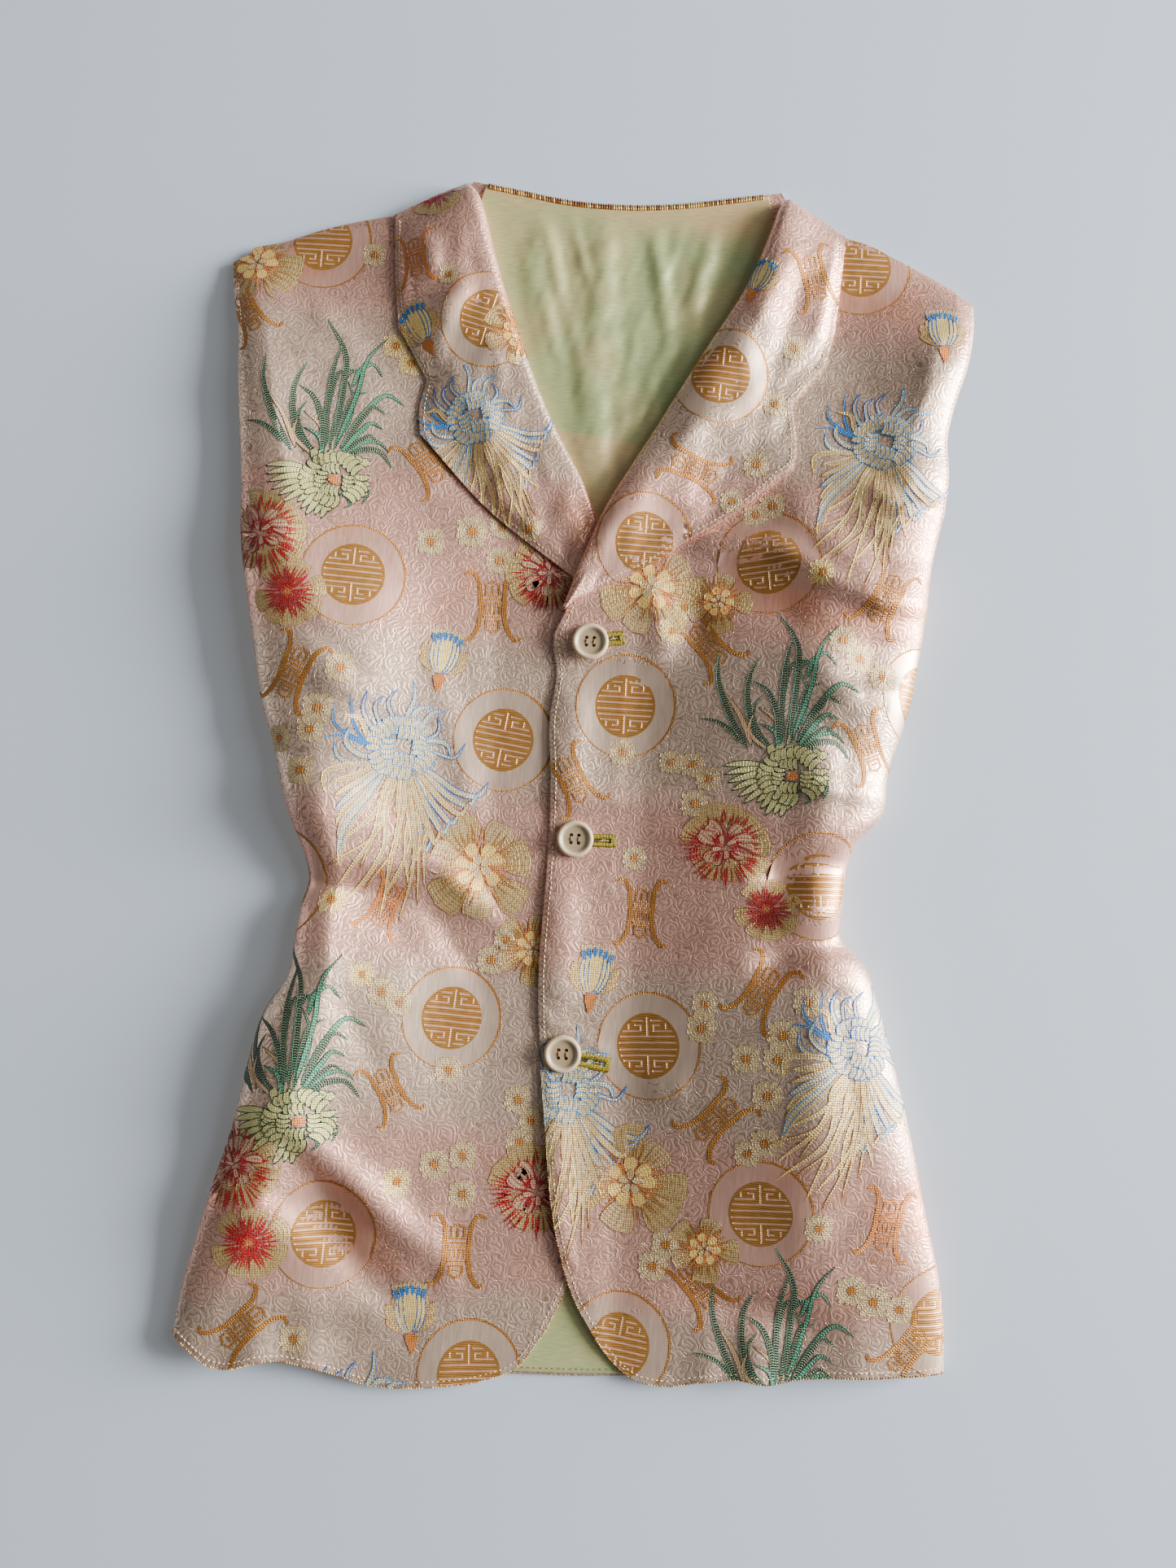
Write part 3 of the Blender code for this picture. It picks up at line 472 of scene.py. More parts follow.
def lapelGrid(side):
    # rows from the shoulder to the foot, columns from the free edge to the fold and round it to the root
    g = garment
    table = lapelEdges[side]
    corners = [i for i, row in enumerate(table) if row[2]]
    steps = 8
    edge = lineThrough([row[:2] for row in table], corners, steps)
    even = np.concatenate([[0, 0.004, 0.008, 0.014], np.linspace(0.02, 1, g["lapelRows"])])
    cornerShares = shares(edge)[[steps * i for i in corners]]
    kept = [s for s in even if abs(cornerShares - s).min() > 0.004]
    down = np.sort(np.concatenate([kept, cornerShares]))
    free, crest = along(edge, down), along(crestLine(side), down)
    share = np.linspace(0, 1, g["lapelColumns"])[None, :, None]
    flat = free[:, None] + share * (crest[:, None, :2] - free[:, None])
    x, y, share = flat[..., 0], flat[..., 1], np.broadcast_to(share[..., 0], flat.shape[:2])
    radius = np.maximum(crest[:, 2] * shoulderShare(side, crest[:, 0], crest[:, 1]), layer / 2 + 0.1)
    stand = (2 * radius[:, None] - layer) * smooth(share)
    bumps = np.maximum(ripple(x, y, 34, 51 + side) + 0.5 * ripple(x, y, 15, 57 + side) + 0.9, 0)
    puffed = g["lapelPuff"] * bumps * fadeEnds(share, 0.25) * ramp(y, 300, 280)
    waves = np.maximum(0.6 + ripple(x * 1.2, y * 1.2, 9, 61 + side), 0)
    puckered = puckers(edge[::2], x, y, waves, ramp(y, 296, 280))
    bulge = g["rollBulge"][side] * smooth((share - 0.3) / 0.5) * np.sqrt(np.clip((1 - share) / 0.2, 0, 1))
    bulge = bulge * ramp(y, 300, 270) * ramp(y, 110, 150)
    swollen = np.maximum(foldHeight(lapelSwells, side, x, y), -0.4 * stand) * fadeEnds(share, 0.2)
    level = frontLevel(side, x, y) + layer + g["lapelRoom"] + stand + puffed + puckered + bulge + swollen
    grid, flats = [np.stack([x, y, level], axis=-1)], [flat]
    bottom = frontLevel(side, crest[:, 0], crest[:, 1])
    for angle in np.linspace(0, math.pi, g["turnColumns"] + 1)[1:]:
        place = crest[:, :2] - (radius * math.sin(angle))[:, None] * crest[:, 3:5]
        height = bottom + radius + (radius + g["lapelRoom"] * (1 - angle / math.pi)) * math.cos(angle)
        grid.append(np.column_stack([place, height])[:, None])
        flats.append((crest[:, :2] - (radius * angle)[:, None] * crest[:, 3:5])[:, None])
    return np.concatenate(grid, axis=1), np.concatenate(flats, axis=1)


def backEdges(sideInset, shoulderInset, endInset, collarRoom):
    # the top, hem and sides of a piece that lies under the fronts, drawn in by these insets
    neck = lineThrough(backNeck) - np.array([0.0, endInset])
    cut = collarRoom / 2 - 0.1
    neck = neck[(neck[:, 0] > neck[0, 0] + cut) & (neck[:, 0] < neck[-1, 0] - cut)]
    hem = lineThrough(backHem[::-1]) + np.array([0.0, endInset])
    hem = hem[np.abs(hem[:, 0]) < garment["backHemHalf"]]
    y = section["y"][::-1][1:]
    tops, sides = {}, {}
    for side in (left, right):
        seam = lineThrough(shoulders[side])[:-6] - shoulderInset * np.array([0.5, 0.866])
        corner = neck[-1 if side == right else 0]
        seam = seam[seam[:, 0] > side * corner[0] + collarRoom + 1.0]
        tops[side] = seam * np.array([side, 1.0])
        if collarRoom:
            tops[side] = np.vstack([corner - [0.0, collarRoom], tops[side]])
        out = halfWidth(side, y) - sectionAt("tuck", y) + 2 - sideInset
        places = np.stack([side * out, y], axis=1)
        places[-1, 1] = backHem[0 if side == right else -1][1] + endInset
        sides[side] = lineThrough(np.vstack([tops[side][-1:], places]))
    hem = np.vstack([sides[left][-1:], hem, sides[right][-1:]])
    return [tops[left][::-1], neck, tops[right]], hem, sides


# Shader nodes and materials
def srgb(r, g, b):
    def linear(c):
        c /= 255
        return c / 12.92 if c <= 0.04045 else ((c + 0.055) / 1.055) ** 2.4
    return (linear(r), linear(g), linear(b), 1.0)


class Wire:
    # a value on its way through a shader: sums and products of wires add the nodes that work them out
    def __init__(self, socket):
        self.socket = socket

    def __add__(self, other):
        return maths("ADD", self, other)

    def __sub__(self, other):
        return maths("SUBTRACT", self, other)

    def __rsub__(self, other):
        return maths("SUBTRACT", other, self)

    def __mul__(self, other):
        return maths("MULTIPLY", self, other)

    def __truediv__(self, other):
        return maths("DIVIDE", self, other)

    def __gt__(self, other):
        return maths("GREATER_THAN", self, other)

    def __lt__(self, other):
        return maths("LESS_THAN", self, other)

    def __abs__(self):
        return maths("ABSOLUTE", self)

    __radd__, __rmul__ = __add__, __mul__


def setSocket(tree, socket, value):
    if isinstance(value, Wire):
        tree.links.new(value.socket, socket)
    else:
        socket.default_value = value


def node(tree, kind, settings=None, **inputs):
    # adds a node; its outputs come back by name and by number, and an input i0, i1 is meant by number
    made = tree.nodes.new(kind)
    for key, value in (settings or {}).items():
        setattr(made, key, value)
    for key, value in inputs.items():
        label = int(key[1:]) if key[0] == "i" and key[1:].isdigit() else key.replace("_", " ")
        setSocket(tree, made.inputs[label], value)
    wires = {socket.name: Wire(socket) for socket in made.outputs}
    return wires | {i: Wire(socket) for i, socket in enumerate(made.outputs)}


def treeOf(*values):
    return next(value.socket.id_data for value in values if isinstance(value, Wire))


def maths(operation, *values):
    numbered = {f"i{k}": value for k, value in enumerate(values)}
    return node(treeOf(*values), "ShaderNodeMath", {"operation": operation}, **numbered)[0]


def vectorMaths(operation, *values):
    numbered = {f"i{k}": value for k, value in enumerate(values)}
    return node(treeOf(*values), "ShaderNodeVectorMath", {"operation": operation}, **numbered)[0]


def mixColour(factor, a, b, blend="MIX"):
    settings = {"data_type": "RGBA", "blend_type": blend}
    return node(treeOf(factor, a, b), "ShaderNodeMix", settings, i0=factor, i6=a, i7=b)[2]


def shadeBy(colour, shade):
    grey = node(treeOf(shade), "ShaderNodeCombineColor", Red=shade, Green=shade, Blue=shade)[0]
    return mixColour(1.0, colour, grey, "MULTIPLY")


def between(value, low, high):
    # 0 at low, 1 at high, with soft ends
    settings, ends = {"interpolation_type": "SMOOTHSTEP"}, {"From_Min": low, "From_Max": high}
    return node(treeOf(value), "ShaderNodeMapRange", settings, Value=value, **ends)["Result"]


def noise(place, scale, detail, kind="2D"):
    settings = {"noise_dimensions": kind}
    return node(treeOf(place), "ShaderNodeTexNoise", settings, Vector=place, Scale=scale, Detail=detail)


def parts(place):
    return node(treeOf(place), "ShaderNodeSeparateXYZ", Vector=place)


def makeGroup(name, inputs, build):
    # a node group from a function of its inputs; an input without a value is a vector
    group = bpy.data.node_groups.new(name, "ShaderNodeTree")
    for label, value in inputs.items():
        kind = "NodeSocketVector" if value is None else "NodeSocketFloat"
        socket = group.interface.new_socket(label, in_out="INPUT", socket_type=kind)
        if value is not None:
            socket.default_value = value
    given = group.nodes.new("NodeGroupInput")
    results = build(*[Wire(given.outputs[label]) for label in inputs])
    for label in results:
        group.interface.new_socket(label, in_out="OUTPUT", socket_type="NodeSocketFloat")
    end = group.nodes.new("NodeGroupOutput")
    for label, wire in results.items():
        group.links.new(wire.socket, end.inputs[label])
    return group


def useGroup(name, **inputs):
    return node(treeOf(*inputs.values()), "ShaderNodeGroup", {"node_tree": groups[name]}, **inputs)


scroll = {  # the cloud lines; all but the counts are shares of a cell
    "wander": 0.55, "wanderScale": 1.9, "scatter": 0.75, "border": 0.13, "outline": 0.085,
    "scallops": 7.0, "scallopDepth": 0.03, "puff": 0.13,
}


def cloudScroll(place, cells, turns, line):
    # curling cloud lines: a spiral in each cell, and a scalloped outline that follows the cell's border
    tree, s = treeOf(place), scroll
    scaled = node(tree, "ShaderNodeVectorMath", {"operation": "SCALE"}, Vector=place, Scale=cells)[0]
    wobble = noise(scaled, s["wanderScale"], 1.0)["Color"]
    shift = vectorMaths("MULTIPLY_ADD", wobble, (s["wander"], s["wander"], 0.0), scaled)
    cell, edge = [
        node(tree, "ShaderNodeTexVoronoi", {"voronoi_dimensions": "2D", "feature": feature},
             Vector=shift, Scale=1.0, Randomness=s["scatter"])
        for feature in ("F1", "DISTANCE_TO_EDGE")
    ]
    border = edge["Distance"]
    away = parts(vectorMaths("SUBTRACT", shift, cell["Position"]))
    chance = node(tree, "ShaderNodeSeparateColor", Color=cell["Color"])
    angle = maths("ARCTAN2", away["Y"], away["X"])
    hand = (chance[0] > 0.5) * 2.0 - 1.0
    phase = cell["Distance"] * turns + chance[1] - angle * hand * (1 / (2 * math.pi))
    spiral = abs(maths("FRACT", phase) - 0.5) / turns + (border < s["border"])
    outline = abs(border + maths("SINE", angle * s["scallops"]) * s["scallopDepth"] - s["outline"])
    gap = maths("MINIMUM", spiral, outline)
    return {"Line": 1.0 - between(gap, line * 0.4, line * 1.5), "Puff": between(gap, 0.0, s["puff"])}


def dyedBands(place, offset, pitch):
    # soft cross bands of dye: how pink the cloth is, blotches of salmon, and fine streaks along the warp
    height = noise(place, 9.0, 2.0)["Fac"] * 0.03 + parts(place)["Y"] + offset
    wave = maths("COSINE", height * (2 * math.pi) / pitch)
    salmon = between(noise(place, 17.0, 2.0)["Fac"], 0.54, 0.74) * between(wave, 0.0, 0.8)
    streaks = noise(vectorMaths("MULTIPLY", place, (1.0, 0.12, 1.0)), 800.0, 3.0)["Fac"]
    return {"Pink": between(wave, -0.5, 0.4), "Salmon": salmon, "Streaks": streaks}


def threadFloats(place, threads):
    # the fine grain of floating threads
    spot = parts(place)
    warp = maths("SINE", spot["X"] * threads * (2 * math.pi))
    weft = maths("SINE", spot["Y"] * threads * 4.4)
    return {"Height": (warp + weft) * 0.5, "Shade": noise(place, 260.0, 2.0)["Fac"]}


def stripMarks(strip, girth, edge, ribs, pitch, arch):
    # lines that follow a woven strip: its edge, ribs along it and ticks across it, all in millimetres
    strip, girth = parts(strip), parts(girth)
    depth = (1.0 - abs(strip["Y"])) * girth["X"]
    edgeLine = (1.0 - between(depth, edge * 0.7, edge)) * (edge > 0.01)
    rib = between(maths("COSINE", strip["Y"] * ribs * math.pi), 0.45, 0.95)
    ribLine = rib * (ribs > 0.5) * between(girth["X"], 0.8, 1.8)
    turns = (strip["X"] + strip["Y"] * strip["Y"] * arch) / pitch
    tick = maths("SINE", (turns + girth["Y"]) * (2 * math.pi))
    return {"Edge Line": edgeLine, "Rib Line": ribLine, "Tick Line": between(tick, 0.55, 0.98)}


keyBars = (  # middle and half size, in millimetres, of the pale bars in one quarter of the disc
    (7.0, 1.7, 8.2, 0.42), (7.0, 4.7, 7.6, 0.42), (0.0, 11.0, 0.42, 6.3), (7.8, 7.4, 5.0, 0.40),
    (3.2, 8.8, 0.40, 1.6), (4.6, 10.2, 1.6, 0.40), (9.3, 9.6, 0.40, 1.4), (5.8, 12.5, 3.9, 0.40),
)
medallionDisc = (15.6, 16.4)  # half width and half height of the gold disc, and of the field round it
medallionField = (25.5, 26.5)


def keyFret(strip, girth, rim):
    # where the pale bars run in a disc; the disc is one strip, so its own place comes from the strip's maps
    strip, girth = parts(strip), parts(girth)
    x, y = strip["X"] - medallionDisc[0], strip["Y"] * girth["X"]
    inside = 1.0 - between(maths("SQRT", x * x + y * y), rim, rim + 0.2)
    x, y = abs(x), abs(y)
    clear = 1.0
    for barX, barY, halfX, halfY in keyBars:
        over = maths("MAXIMUM", abs(x - barX) - halfX, abs(y - barY) - halfY)
        clear = clear * between(over, -0.1, 0.1)
    return {"Bars": (1.0 - clear) * inside}


groups = {
    "scroll": makeGroup("cloudScroll", {
        "Place": None, "Cells": 80.0, "Turns": 3.2, "Line": 0.03,
    }, cloudScroll),
    "bands": makeGroup("dyedBands", {"Place": None, "Offset": 0.0, "Pitch": 0.168}, dyedBands),
    "floats": makeGroup("threadFloats", {"Place": None, "Threads": 1300.0}, threadFloats),
    "marks": makeGroup("stripMarks", {
        "Strip": None, "Girth": None, "Edge": 0.5, "Ribs": 0.0, "Pitch": 1.5, "Arch": 0.0,
    }, stripMarks),
    "fret": makeGroup("keyFret", {"Strip": None, "Girth": None, "Rim": 14.3}, keyFret),
}


def newMaterial(name):
    material = bpy.data.materials.new(name)
    material.use_nodes = True
    return material


def finished(material, colour, rough, metallic=0.0, relief=None, strength=1.0, depth=0.0):
    # joins colour, roughness and relief, which is so deep in metres, to the material's shader
    tree = material.node_tree
    shader = tree.nodes["Principled BSDF"].inputs
    setSocket(tree, shader["Base Color"], colour)
    setSocket(tree, shader["Roughness"], rough)
    setSocket(tree, shader["Metallic"], metallic)
    if relief is not None:
        bump = node(tree, "ShaderNodeBump", Strength=strength, Distance=depth, Height=relief)
        setSocket(tree, shader["Normal"], bump[0])
    return material


def uvPlace(material, name="cloth"):
    return node(material.node_tree, "ShaderNodeUVMap", {"uv_map": name})[0]


brocade = {
    "cream": srgb(223, 194, 172), "pink": srgb(232, 181, 161), "salmon": srgb(232, 138, 96),
    "line": srgb(104, 70, 58), "lineStrength": 0.62, "paintedGrooveShade": 0.05,
    "cellsPerMetre": 94.0, "turns": 4.1, "lineHalfWidth": 0.020, "bandOffset": 0.036,
    "roughness": 0.43, "metallic": 0.78, "emboss": 0.00022, "salmonShare": 0.5,
}


def brocadeMaterial(name, figured):
    b = brocade
    material = newMaterial(name)
    place = uvPlace(material)
    bands = useGroup("bands", Place=place, Offset=b["bandOffset"])
    colour = mixColour(bands["Pink"], b["cream"], b["pink"])
    colour = mixColour(bands["Salmon"] * b["salmonShare"], colour, b["salmon"])
    colour = shadeBy(colour, bands["Streaks"] * 0.30 + 0.85)
    height = useGroup("floats", Place=place)["Height"] * 0.05
    rough = bands["Streaks"] * 0.12 + (b["roughness"] - 0.06)
    if figured:
        lines = useGroup("scroll", Place=place, Cells=b["cellsPerMetre"], Turns=b["turns"],
                         Line=b["lineHalfWidth"])
        # painted shade and highlight: a little darker beside the scroll lines, where the puffed cloth dips,
        # and a little lighter on the puffs
        colour = shadeBy(colour, lines["Puff"] * b["paintedGrooveShade"] + (1.0 - b["paintedGrooveShade"] * 0.7))
        colour = mixColour(lines["Line"] * b["lineStrength"], colour, b["line"])
        height = lines["Puff"] * 0.5 + height
        rough = lines["Line"] * 0.12 + rough
    return finished(material, colour, rough, b["metallic"], height, 1.0, b["emboss"])


dyes = {
    "gold": srgb(158, 98, 38), "paleGold": srgb(226, 194, 112), "cream": srgb(234, 216, 170),
    "khaki": srgb(184, 160, 110), "tan": srgb(192, 156, 118), "shell": srgb(188, 160, 126),
    "straw": srgb(192, 168, 126), "green": srgb(6, 46, 36), "mint": srgb(30, 116, 90),
    "blue": srgb(36, 96, 166), "lime": srgb(190, 184, 124), "ivory": srgb(198, 176, 132),
    "paleBlue": srgb(82, 142, 192), "red": srgb(146, 2, 22), "orange": srgb(188, 108, 50),
    "brown": srgb(122, 84, 54), "olive": srgb(140, 124, 22), "dark": srgb(56, 46, 30),
}
threadColumns = (
    "fill", "edge", "edgeWidth", "marks", "ribs", "ribShare", "pitch", "tickShare", "arch", "metallic",
)
threadRows = {  # every woven figure is made of these; widths and pitches in millimetres
    "gold": ("gold", "gold", 0.0, "paleGold", 0, 0.0, 1.2, 0.30, 0.0, 0.6),
    "orange": ("orange", "orange", 0.0, "paleGold", 0, 0.0, 1.2, 0.30, 0.0, 0.45),
    "blade": ("green", "mint", 0.16, "cream", 0, 0.0, 1.25, 0.42, 0.6, 0.25),
    "mintBlade": ("mint", "green", 0.32, "cream", 0, 0.0, 1.5, 0.40, 0.6, 0.3),
    "khakiBlade": ("tan", "green", 0.26, "paleGold", 0, 0.0, 1.4, 0.3, 0.0, 0.5),
    "greenPetal": ("lime", "green", 0.50, "paleGold", 0, 0.0, 1.5, 0.12, 0.0, 0.5),
    "bluePetal": ("ivory", "blue", 0.60, "cream", 0, 0.0, 1.3, 0.25, 0.0, 0.5),
    "palePetal": ("ivory", "paleBlue", 0.62, "cream", 0, 0.0, 1.5, 0.25, 0.0, 0.6),
    "goldPetal": ("ivory", "gold", 0.36, "paleGold", 0, 0.0, 1.4, 0.25, 0.0, 0.6),
    "creamPetal": ("shell", "paleGold", 0.60, "cream", 0, 0.0, 1.4, 0.25, 0.0, 0.6),
    "redPetal": ("shell", "red", 0.62, "red", 3, 0.8, 1.6, 0.1, 1.0, 0.4),
    "orangePetal": ("paleGold", "orange", 0.36, "orange", 3, 0.4, 1.6, 0.1, 1.0, 0.5),
    "budPetal": ("paleGold", "blue", 0.58, "cream", 3, 0.4, 1.6, 0.25, 0.6, 0.5),
    "daisyPetal": ("straw", "shell", 0.32, "paleGold", 0, 0.0, 1.5, 0.25, 0.0, 0.6),
    "lobe": ("khaki", "gold", 0.26, "gold", 5, 0.45, 1.9, 0.30, 2.2, 0.6),
    "goldLobe": ("straw", "gold", 0.34, "gold", 5, 0.5, 1.9, 0.3, 2.2, 0.6),
    "red": ("red", "red", 0.0, "orange", 0, 0.0, 1.6, 0.2, 0.0, 0.2),
    "blue": ("blue", "paleBlue", 0.20, "paleBlue", 0, 0.0, 1.3, 0.4, 0.0, 0.3),
    "cream": ("cream", "cream", 0.0, "khaki", 0, 0.0, 1.4, 0.3, 0.0, 0.3),
    "paleGold": ("paleGold", "paleGold", 0.0, "gold", 0, 0.0, 1.4, 0.3, 0.0, 0.4),
    "olive": ("olive", "olive", 0.0, "paleGold", 0, 0.0, 1.4, 0.3, 0.0, 0.15),
    "brown": ("brown", "brown", 0.0, "gold", 0, 0.0, 1.4, 0.3, 0.0, 0.2),
    # the slit thread is all one dark colour: painted shadow in the buttonhole's gap
    "slit": ("dark", "dark", 0.0, "brown", 0, 0.0, 1.4, 0.3, 0.0, 0.0),
}
medallionRow = 0.00105  # metres from one weft row to the next


def threadMaterial(name):
    t = dict(zip(threadColumns, threadRows[name]))
    material = newMaterial("woven" + name[0].upper() + name[1:])
    marks = useGroup("marks", Strip=uvPlace(material, "strip"), Girth=uvPlace(material, "girth"),
                     Edge=t["edgeWidth"], Ribs=float(t["ribs"]), Pitch=t["pitch"], Arch=t["arch"])
    threads = useGroup("floats", Place=uvPlace(material))
    colour = mixColour(marks["Tick Line"] * t["tickShare"], dyes[t["fill"]], dyes[t["marks"]])
    colour = mixColour(marks["Rib Line"] * t["ribShare"], colour, dyes[t["marks"]])
    colour = mixColour(marks["Edge Line"], colour, dyes[t["edge"]])
    colour = shadeBy(colour, threads["Shade"] * 0.3 + 0.85)
    relief = threads["Height"] + (marks["Tick Line"] + marks["Edge Line"])
    return finished(material, colour, threads["Shade"] * 0.16 + 0.36, t["metallic"], relief, 0.7, 0.00012)


def medallionMaterial():
    # gold weft with its rows, which are raised in the relief and paler along each row as painted sheen, and
    # the pale bars of the key fret
    material = newMaterial("wovenMedallion")
    place = uvPlace(material)
    bars = useGroup("fret", Strip=uvPlace(material, "strip"), Girth=uvPlace(material, "girth"))["Bars"]
    shade = useGroup("floats", Place=place)["Shade"]
    row = maths("SINE", parts(place)["Y"] * (2 * math.pi / medallionRow))
    # paler stripes along the weft rows: painted sheen
    colour = mixColour(row * 0.14 + 0.16, dyes["gold"], dyes["paleGold"])
    colour = shadeBy(mixColour(bars, colour, brocade["pink"]), shade * 0.3 + 0.85)
    return finished(material, colour, shade * 0.14 + 0.32, 0.62, row * 0.3 - bars, 0.8, 0.00018)


silk = {  # the places are heights on the cloth in metres, from where a band is bare to where it is full
    "green": srgb(168, 180, 126), "peach": srgb(208, 178, 130), "mottle": 0.35,
    "greenFoot": (0.1845, 0.1875), "greenHead": (0.317, 0.297), "lowGreen": (-0.20, -0.23), "slope": 0.16,
    "roughness": 0.42, "metallic": 0.4,
}


def liningMaterial():
    material = newMaterial("silkLining")
    place = uvPlace(material)
    spot = parts(place)
    y = noise(place, 30.0, 2.0)["Fac"] * 0.006 + (spot["X"] * silk["slope"] + spot["Y"])
    green = between(y, *silk["greenFoot"]) * between(y, *silk["greenHead"])
    green = maths("MAXIMUM", green, between(y, *silk["lowGreen"]))
    green = (between(noise(place, 26.0, 2.0)["Fac"], 0.35, 0.65) - green) * silk["mottle"] + green
    slubs = noise(vectorMaths("MULTIPLY", place, (1.0, 9.0, 1.0)), 150.0, 3.0)["Fac"]
    colour = shadeBy(mixColour(green, silk["peach"], silk["green"]), slubs * 0.36 + 0.82)
    rough = slubs * 0.2 + (silk["roughness"] - 0.1)
    return finished(material, colour, rough, silk["metallic"], slubs, 0.5, 0.0002)


button = {
    "holeRadius": 0.95, "holeSpacing": 3.9, "pinLength": 12.0, "rimFrom": (0.0062, 0.0074),
    "rim": srgb(188, 168, 138), "middle": srgb(150, 132, 104),
    # radius and height, from the middle of the face over the rim and back below
    "profile": (
        (0.0, 2.1), (3.0, 2.08), (4.9, 2.1), (5.8, 2.18), (6.4, 2.4), (6.9, 2.8), (7.3, 3.15), (7.8, 3.38),
        (8.3, 3.4), (8.8, 3.22), (9.2, 2.85), (9.45, 2.3), (9.5, 1.7), (9.35, 1.15), (9.0, 0.75),
        (8.4, 0.42), (7.6, 0.2), (6.6, 0.0), (0.0, 0.0),
    ),
}


def buttonMaterial():
    material = newMaterial("paleHorn")
    place = node(material.node_tree, "ShaderNodeTexCoord")["Object"]
    x, y = parts(place)["X"], parts(place)["Y"]
    reach = maths("SQRT", x * x + y * y)
    colour = mixColour(between(reach, *button["rimFrom"]), button["middle"], button["rim"])
    grain = noise(place, 420.0, 3.0, "3D")["Fac"]
    return finished(material, shadeBy(colour, grain * 0.10 + 0.95), grain * 0.15 + 0.30)


def floorMaterial():
    material = newMaterial("paleFloor")
    place = node(material.node_tree, "ShaderNodeTexCoord")["Object"]
    cloudy = noise(place, 3.0, 3.0, "3D")["Fac"]
    shader = material.node_tree.nodes["Principled BSDF"].inputs
    # the floor glows faintly all over: painted light that lifts the shadows on it
    shader["Emission Color"].default_value = (1.0, 0.95, 0.88, 1.0)
    shader["Emission Strength"].default_value = 0.11
    return finished(material, mixColour(cloudy, srgb(158, 171, 187), srgb(164, 177, 193)), 0.8)


materials = {
    "brocade": brocadeMaterial("brocadeGround", True), "satin": brocadeMaterial("satinGround", False),
    "lining": liningMaterial(), "horn": buttonMaterial(), "medallion": medallionMaterial(),
}
for threadName in threadRows:
    materials[threadName] = threadMaterial(threadName)
print("materials ready")


# Cloth pieces
def link(thing, slot, *replaced):
    bpy.context.scene.collection.objects.link(thing)
    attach(thing, "root")
    if replaced:
        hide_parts(*replaced)
    return thing


def meshFrom(shape, name):
    mesh = bpy.data.meshes.new(name)
    shape.to_mesh(mesh)
    shape.free()
    return mesh


def softenRim(thing):
    rim = thing.modifiers.new("rim", "BEVEL")
    rim.width, rim.segments = garment["rim"] * mm, 2
    rim.limit_method, rim.angle_limit = "ANGLE", math.radians(60)


def quadAt(i, j):
    return (i, j), (i + 1, j), (i + 1, j + 1), (i, j + 1)


def gridNormals(points):
    normals = unit(np.cross(np.gradient(points, axis=1), np.gradient(points, axis=0)))
    middle = normals[normals.shape[0] // 2, normals.shape[1] // 3]
    return normals if middle[2] > 0 else -normals


def makeCloth(name, grid, flat, side, wall, material, slot, replaced):
    # a sheet from a grid of points, with the flat places as its UV map, in metres
    rows, across = grid.shape[:2]
    points = grid * np.array([side, 1.0, 1.0]) + np.array([*garment["shift"], 0.0])
    flat = flat * np.array([side, 1.0])
    index = np.arange(rows * across).reshape(rows, across)
    quads = np.stack([index[:-1, :-1], index[1:, :-1], index[1:, 1:], index[:-1, 1:]], axis=-1).reshape(-1, 4)
    if side == left:
        quads = quads[:, ::-1]
    mesh = bpy.data.meshes.new(name)
    mesh.from_pydata((points.reshape(-1, 3) * mm).tolist(), [], quads.tolist())
    uv = mesh.uv_layers.new(name="cloth")
    uv.data.foreach_set("uv", (flat.reshape(-1, 2)[quads.reshape(-1)] * mm).ravel())
    mesh.polygons.foreach_set("use_smooth", [True] * len(mesh.polygons))
    mesh.materials.append(material)
    thing = link(bpy.data.objects.new(name, mesh), slot, replaced)
    solid = thing.modifiers.new("wall", "SOLIDIFY")
    # an even wall would leave a spike where a lapel turns most tightly
    solid.thickness, solid.offset, solid.use_even_offset = wall * mm, 0.0, "lapel" not in name
    softenRim(thing)
    strides = (np.diff(points, axis=0)[:, :-1], np.diff(points, axis=1)[:-1])
    places = [Vector(p) for p in points.reshape(-1, 3)]
    flatPlaces = [Vector((u, v, 0.0)) for u, v in flat.reshape(-1, 2)]
    triangles = np.concatenate([quads[:, :3], quads[:, [0, 2, 3]]]).tolist()
    normals = gridNormals(points)
    return {
        "thing": thing, "points": points, "flat": flat, "normals": normals, "wall": wall,
        "area": np.linalg.norm(np.cross(*strides), axis=-1).sum() * mm * mm,
        "triangles": triangles, "places": places, "flatPlaces": flatPlaces,
        "outs": [Vector(n) for n in normals.reshape(-1, 3)],
        "flatTree": BVHTree.FromPolygons(flatPlaces, triangles),
        "plan": BVHTree.FromPolygons(places, triangles),
    }


def carried(cloth, triangle, spot, start, end):
    # a spot of one triangle, moved from one set of the triangle's corners to another
    corners = cloth["triangles"][triangle]
    return barycentric_transform(spot, *[cloth[start][i] for i in corners], *[cloth[end][i] for i in corners])


def onCloth(cloth, u, v, lift=0.0):
    # the place over a flat point of the cloth, lifted off its outer face
    hit = cloth["flatTree"].ray_cast(Vector((u, v, 5.0)), Vector((0.0, 0.0, -1.0)))
    if hit[0] is None:
        return None
    spot = Vector((u, v, 0.0))
    out = carried(cloth, hit[2], spot, "flatPlaces", "outs").normalized()
    return carried(cloth, hit[2], spot, "flatPlaces", "places") + out * (cloth["wall"] / 2 + lift), out


def flatUnder(cloth, x, y):
    # the flat place that shows at this place as seen from above, in the garment's own frame
    start = Vector((x + garment["shift"][0], y + garment["shift"][1], 80.0))
    hit = cloth["plan"].ray_cast(start, Vector((0.0, 0.0, -1.0)))
    if hit[0] is None:
        return x, y
    return tuple(carried(cloth, hit[2], hit[0], "places", "flatPlaces"))[:2]


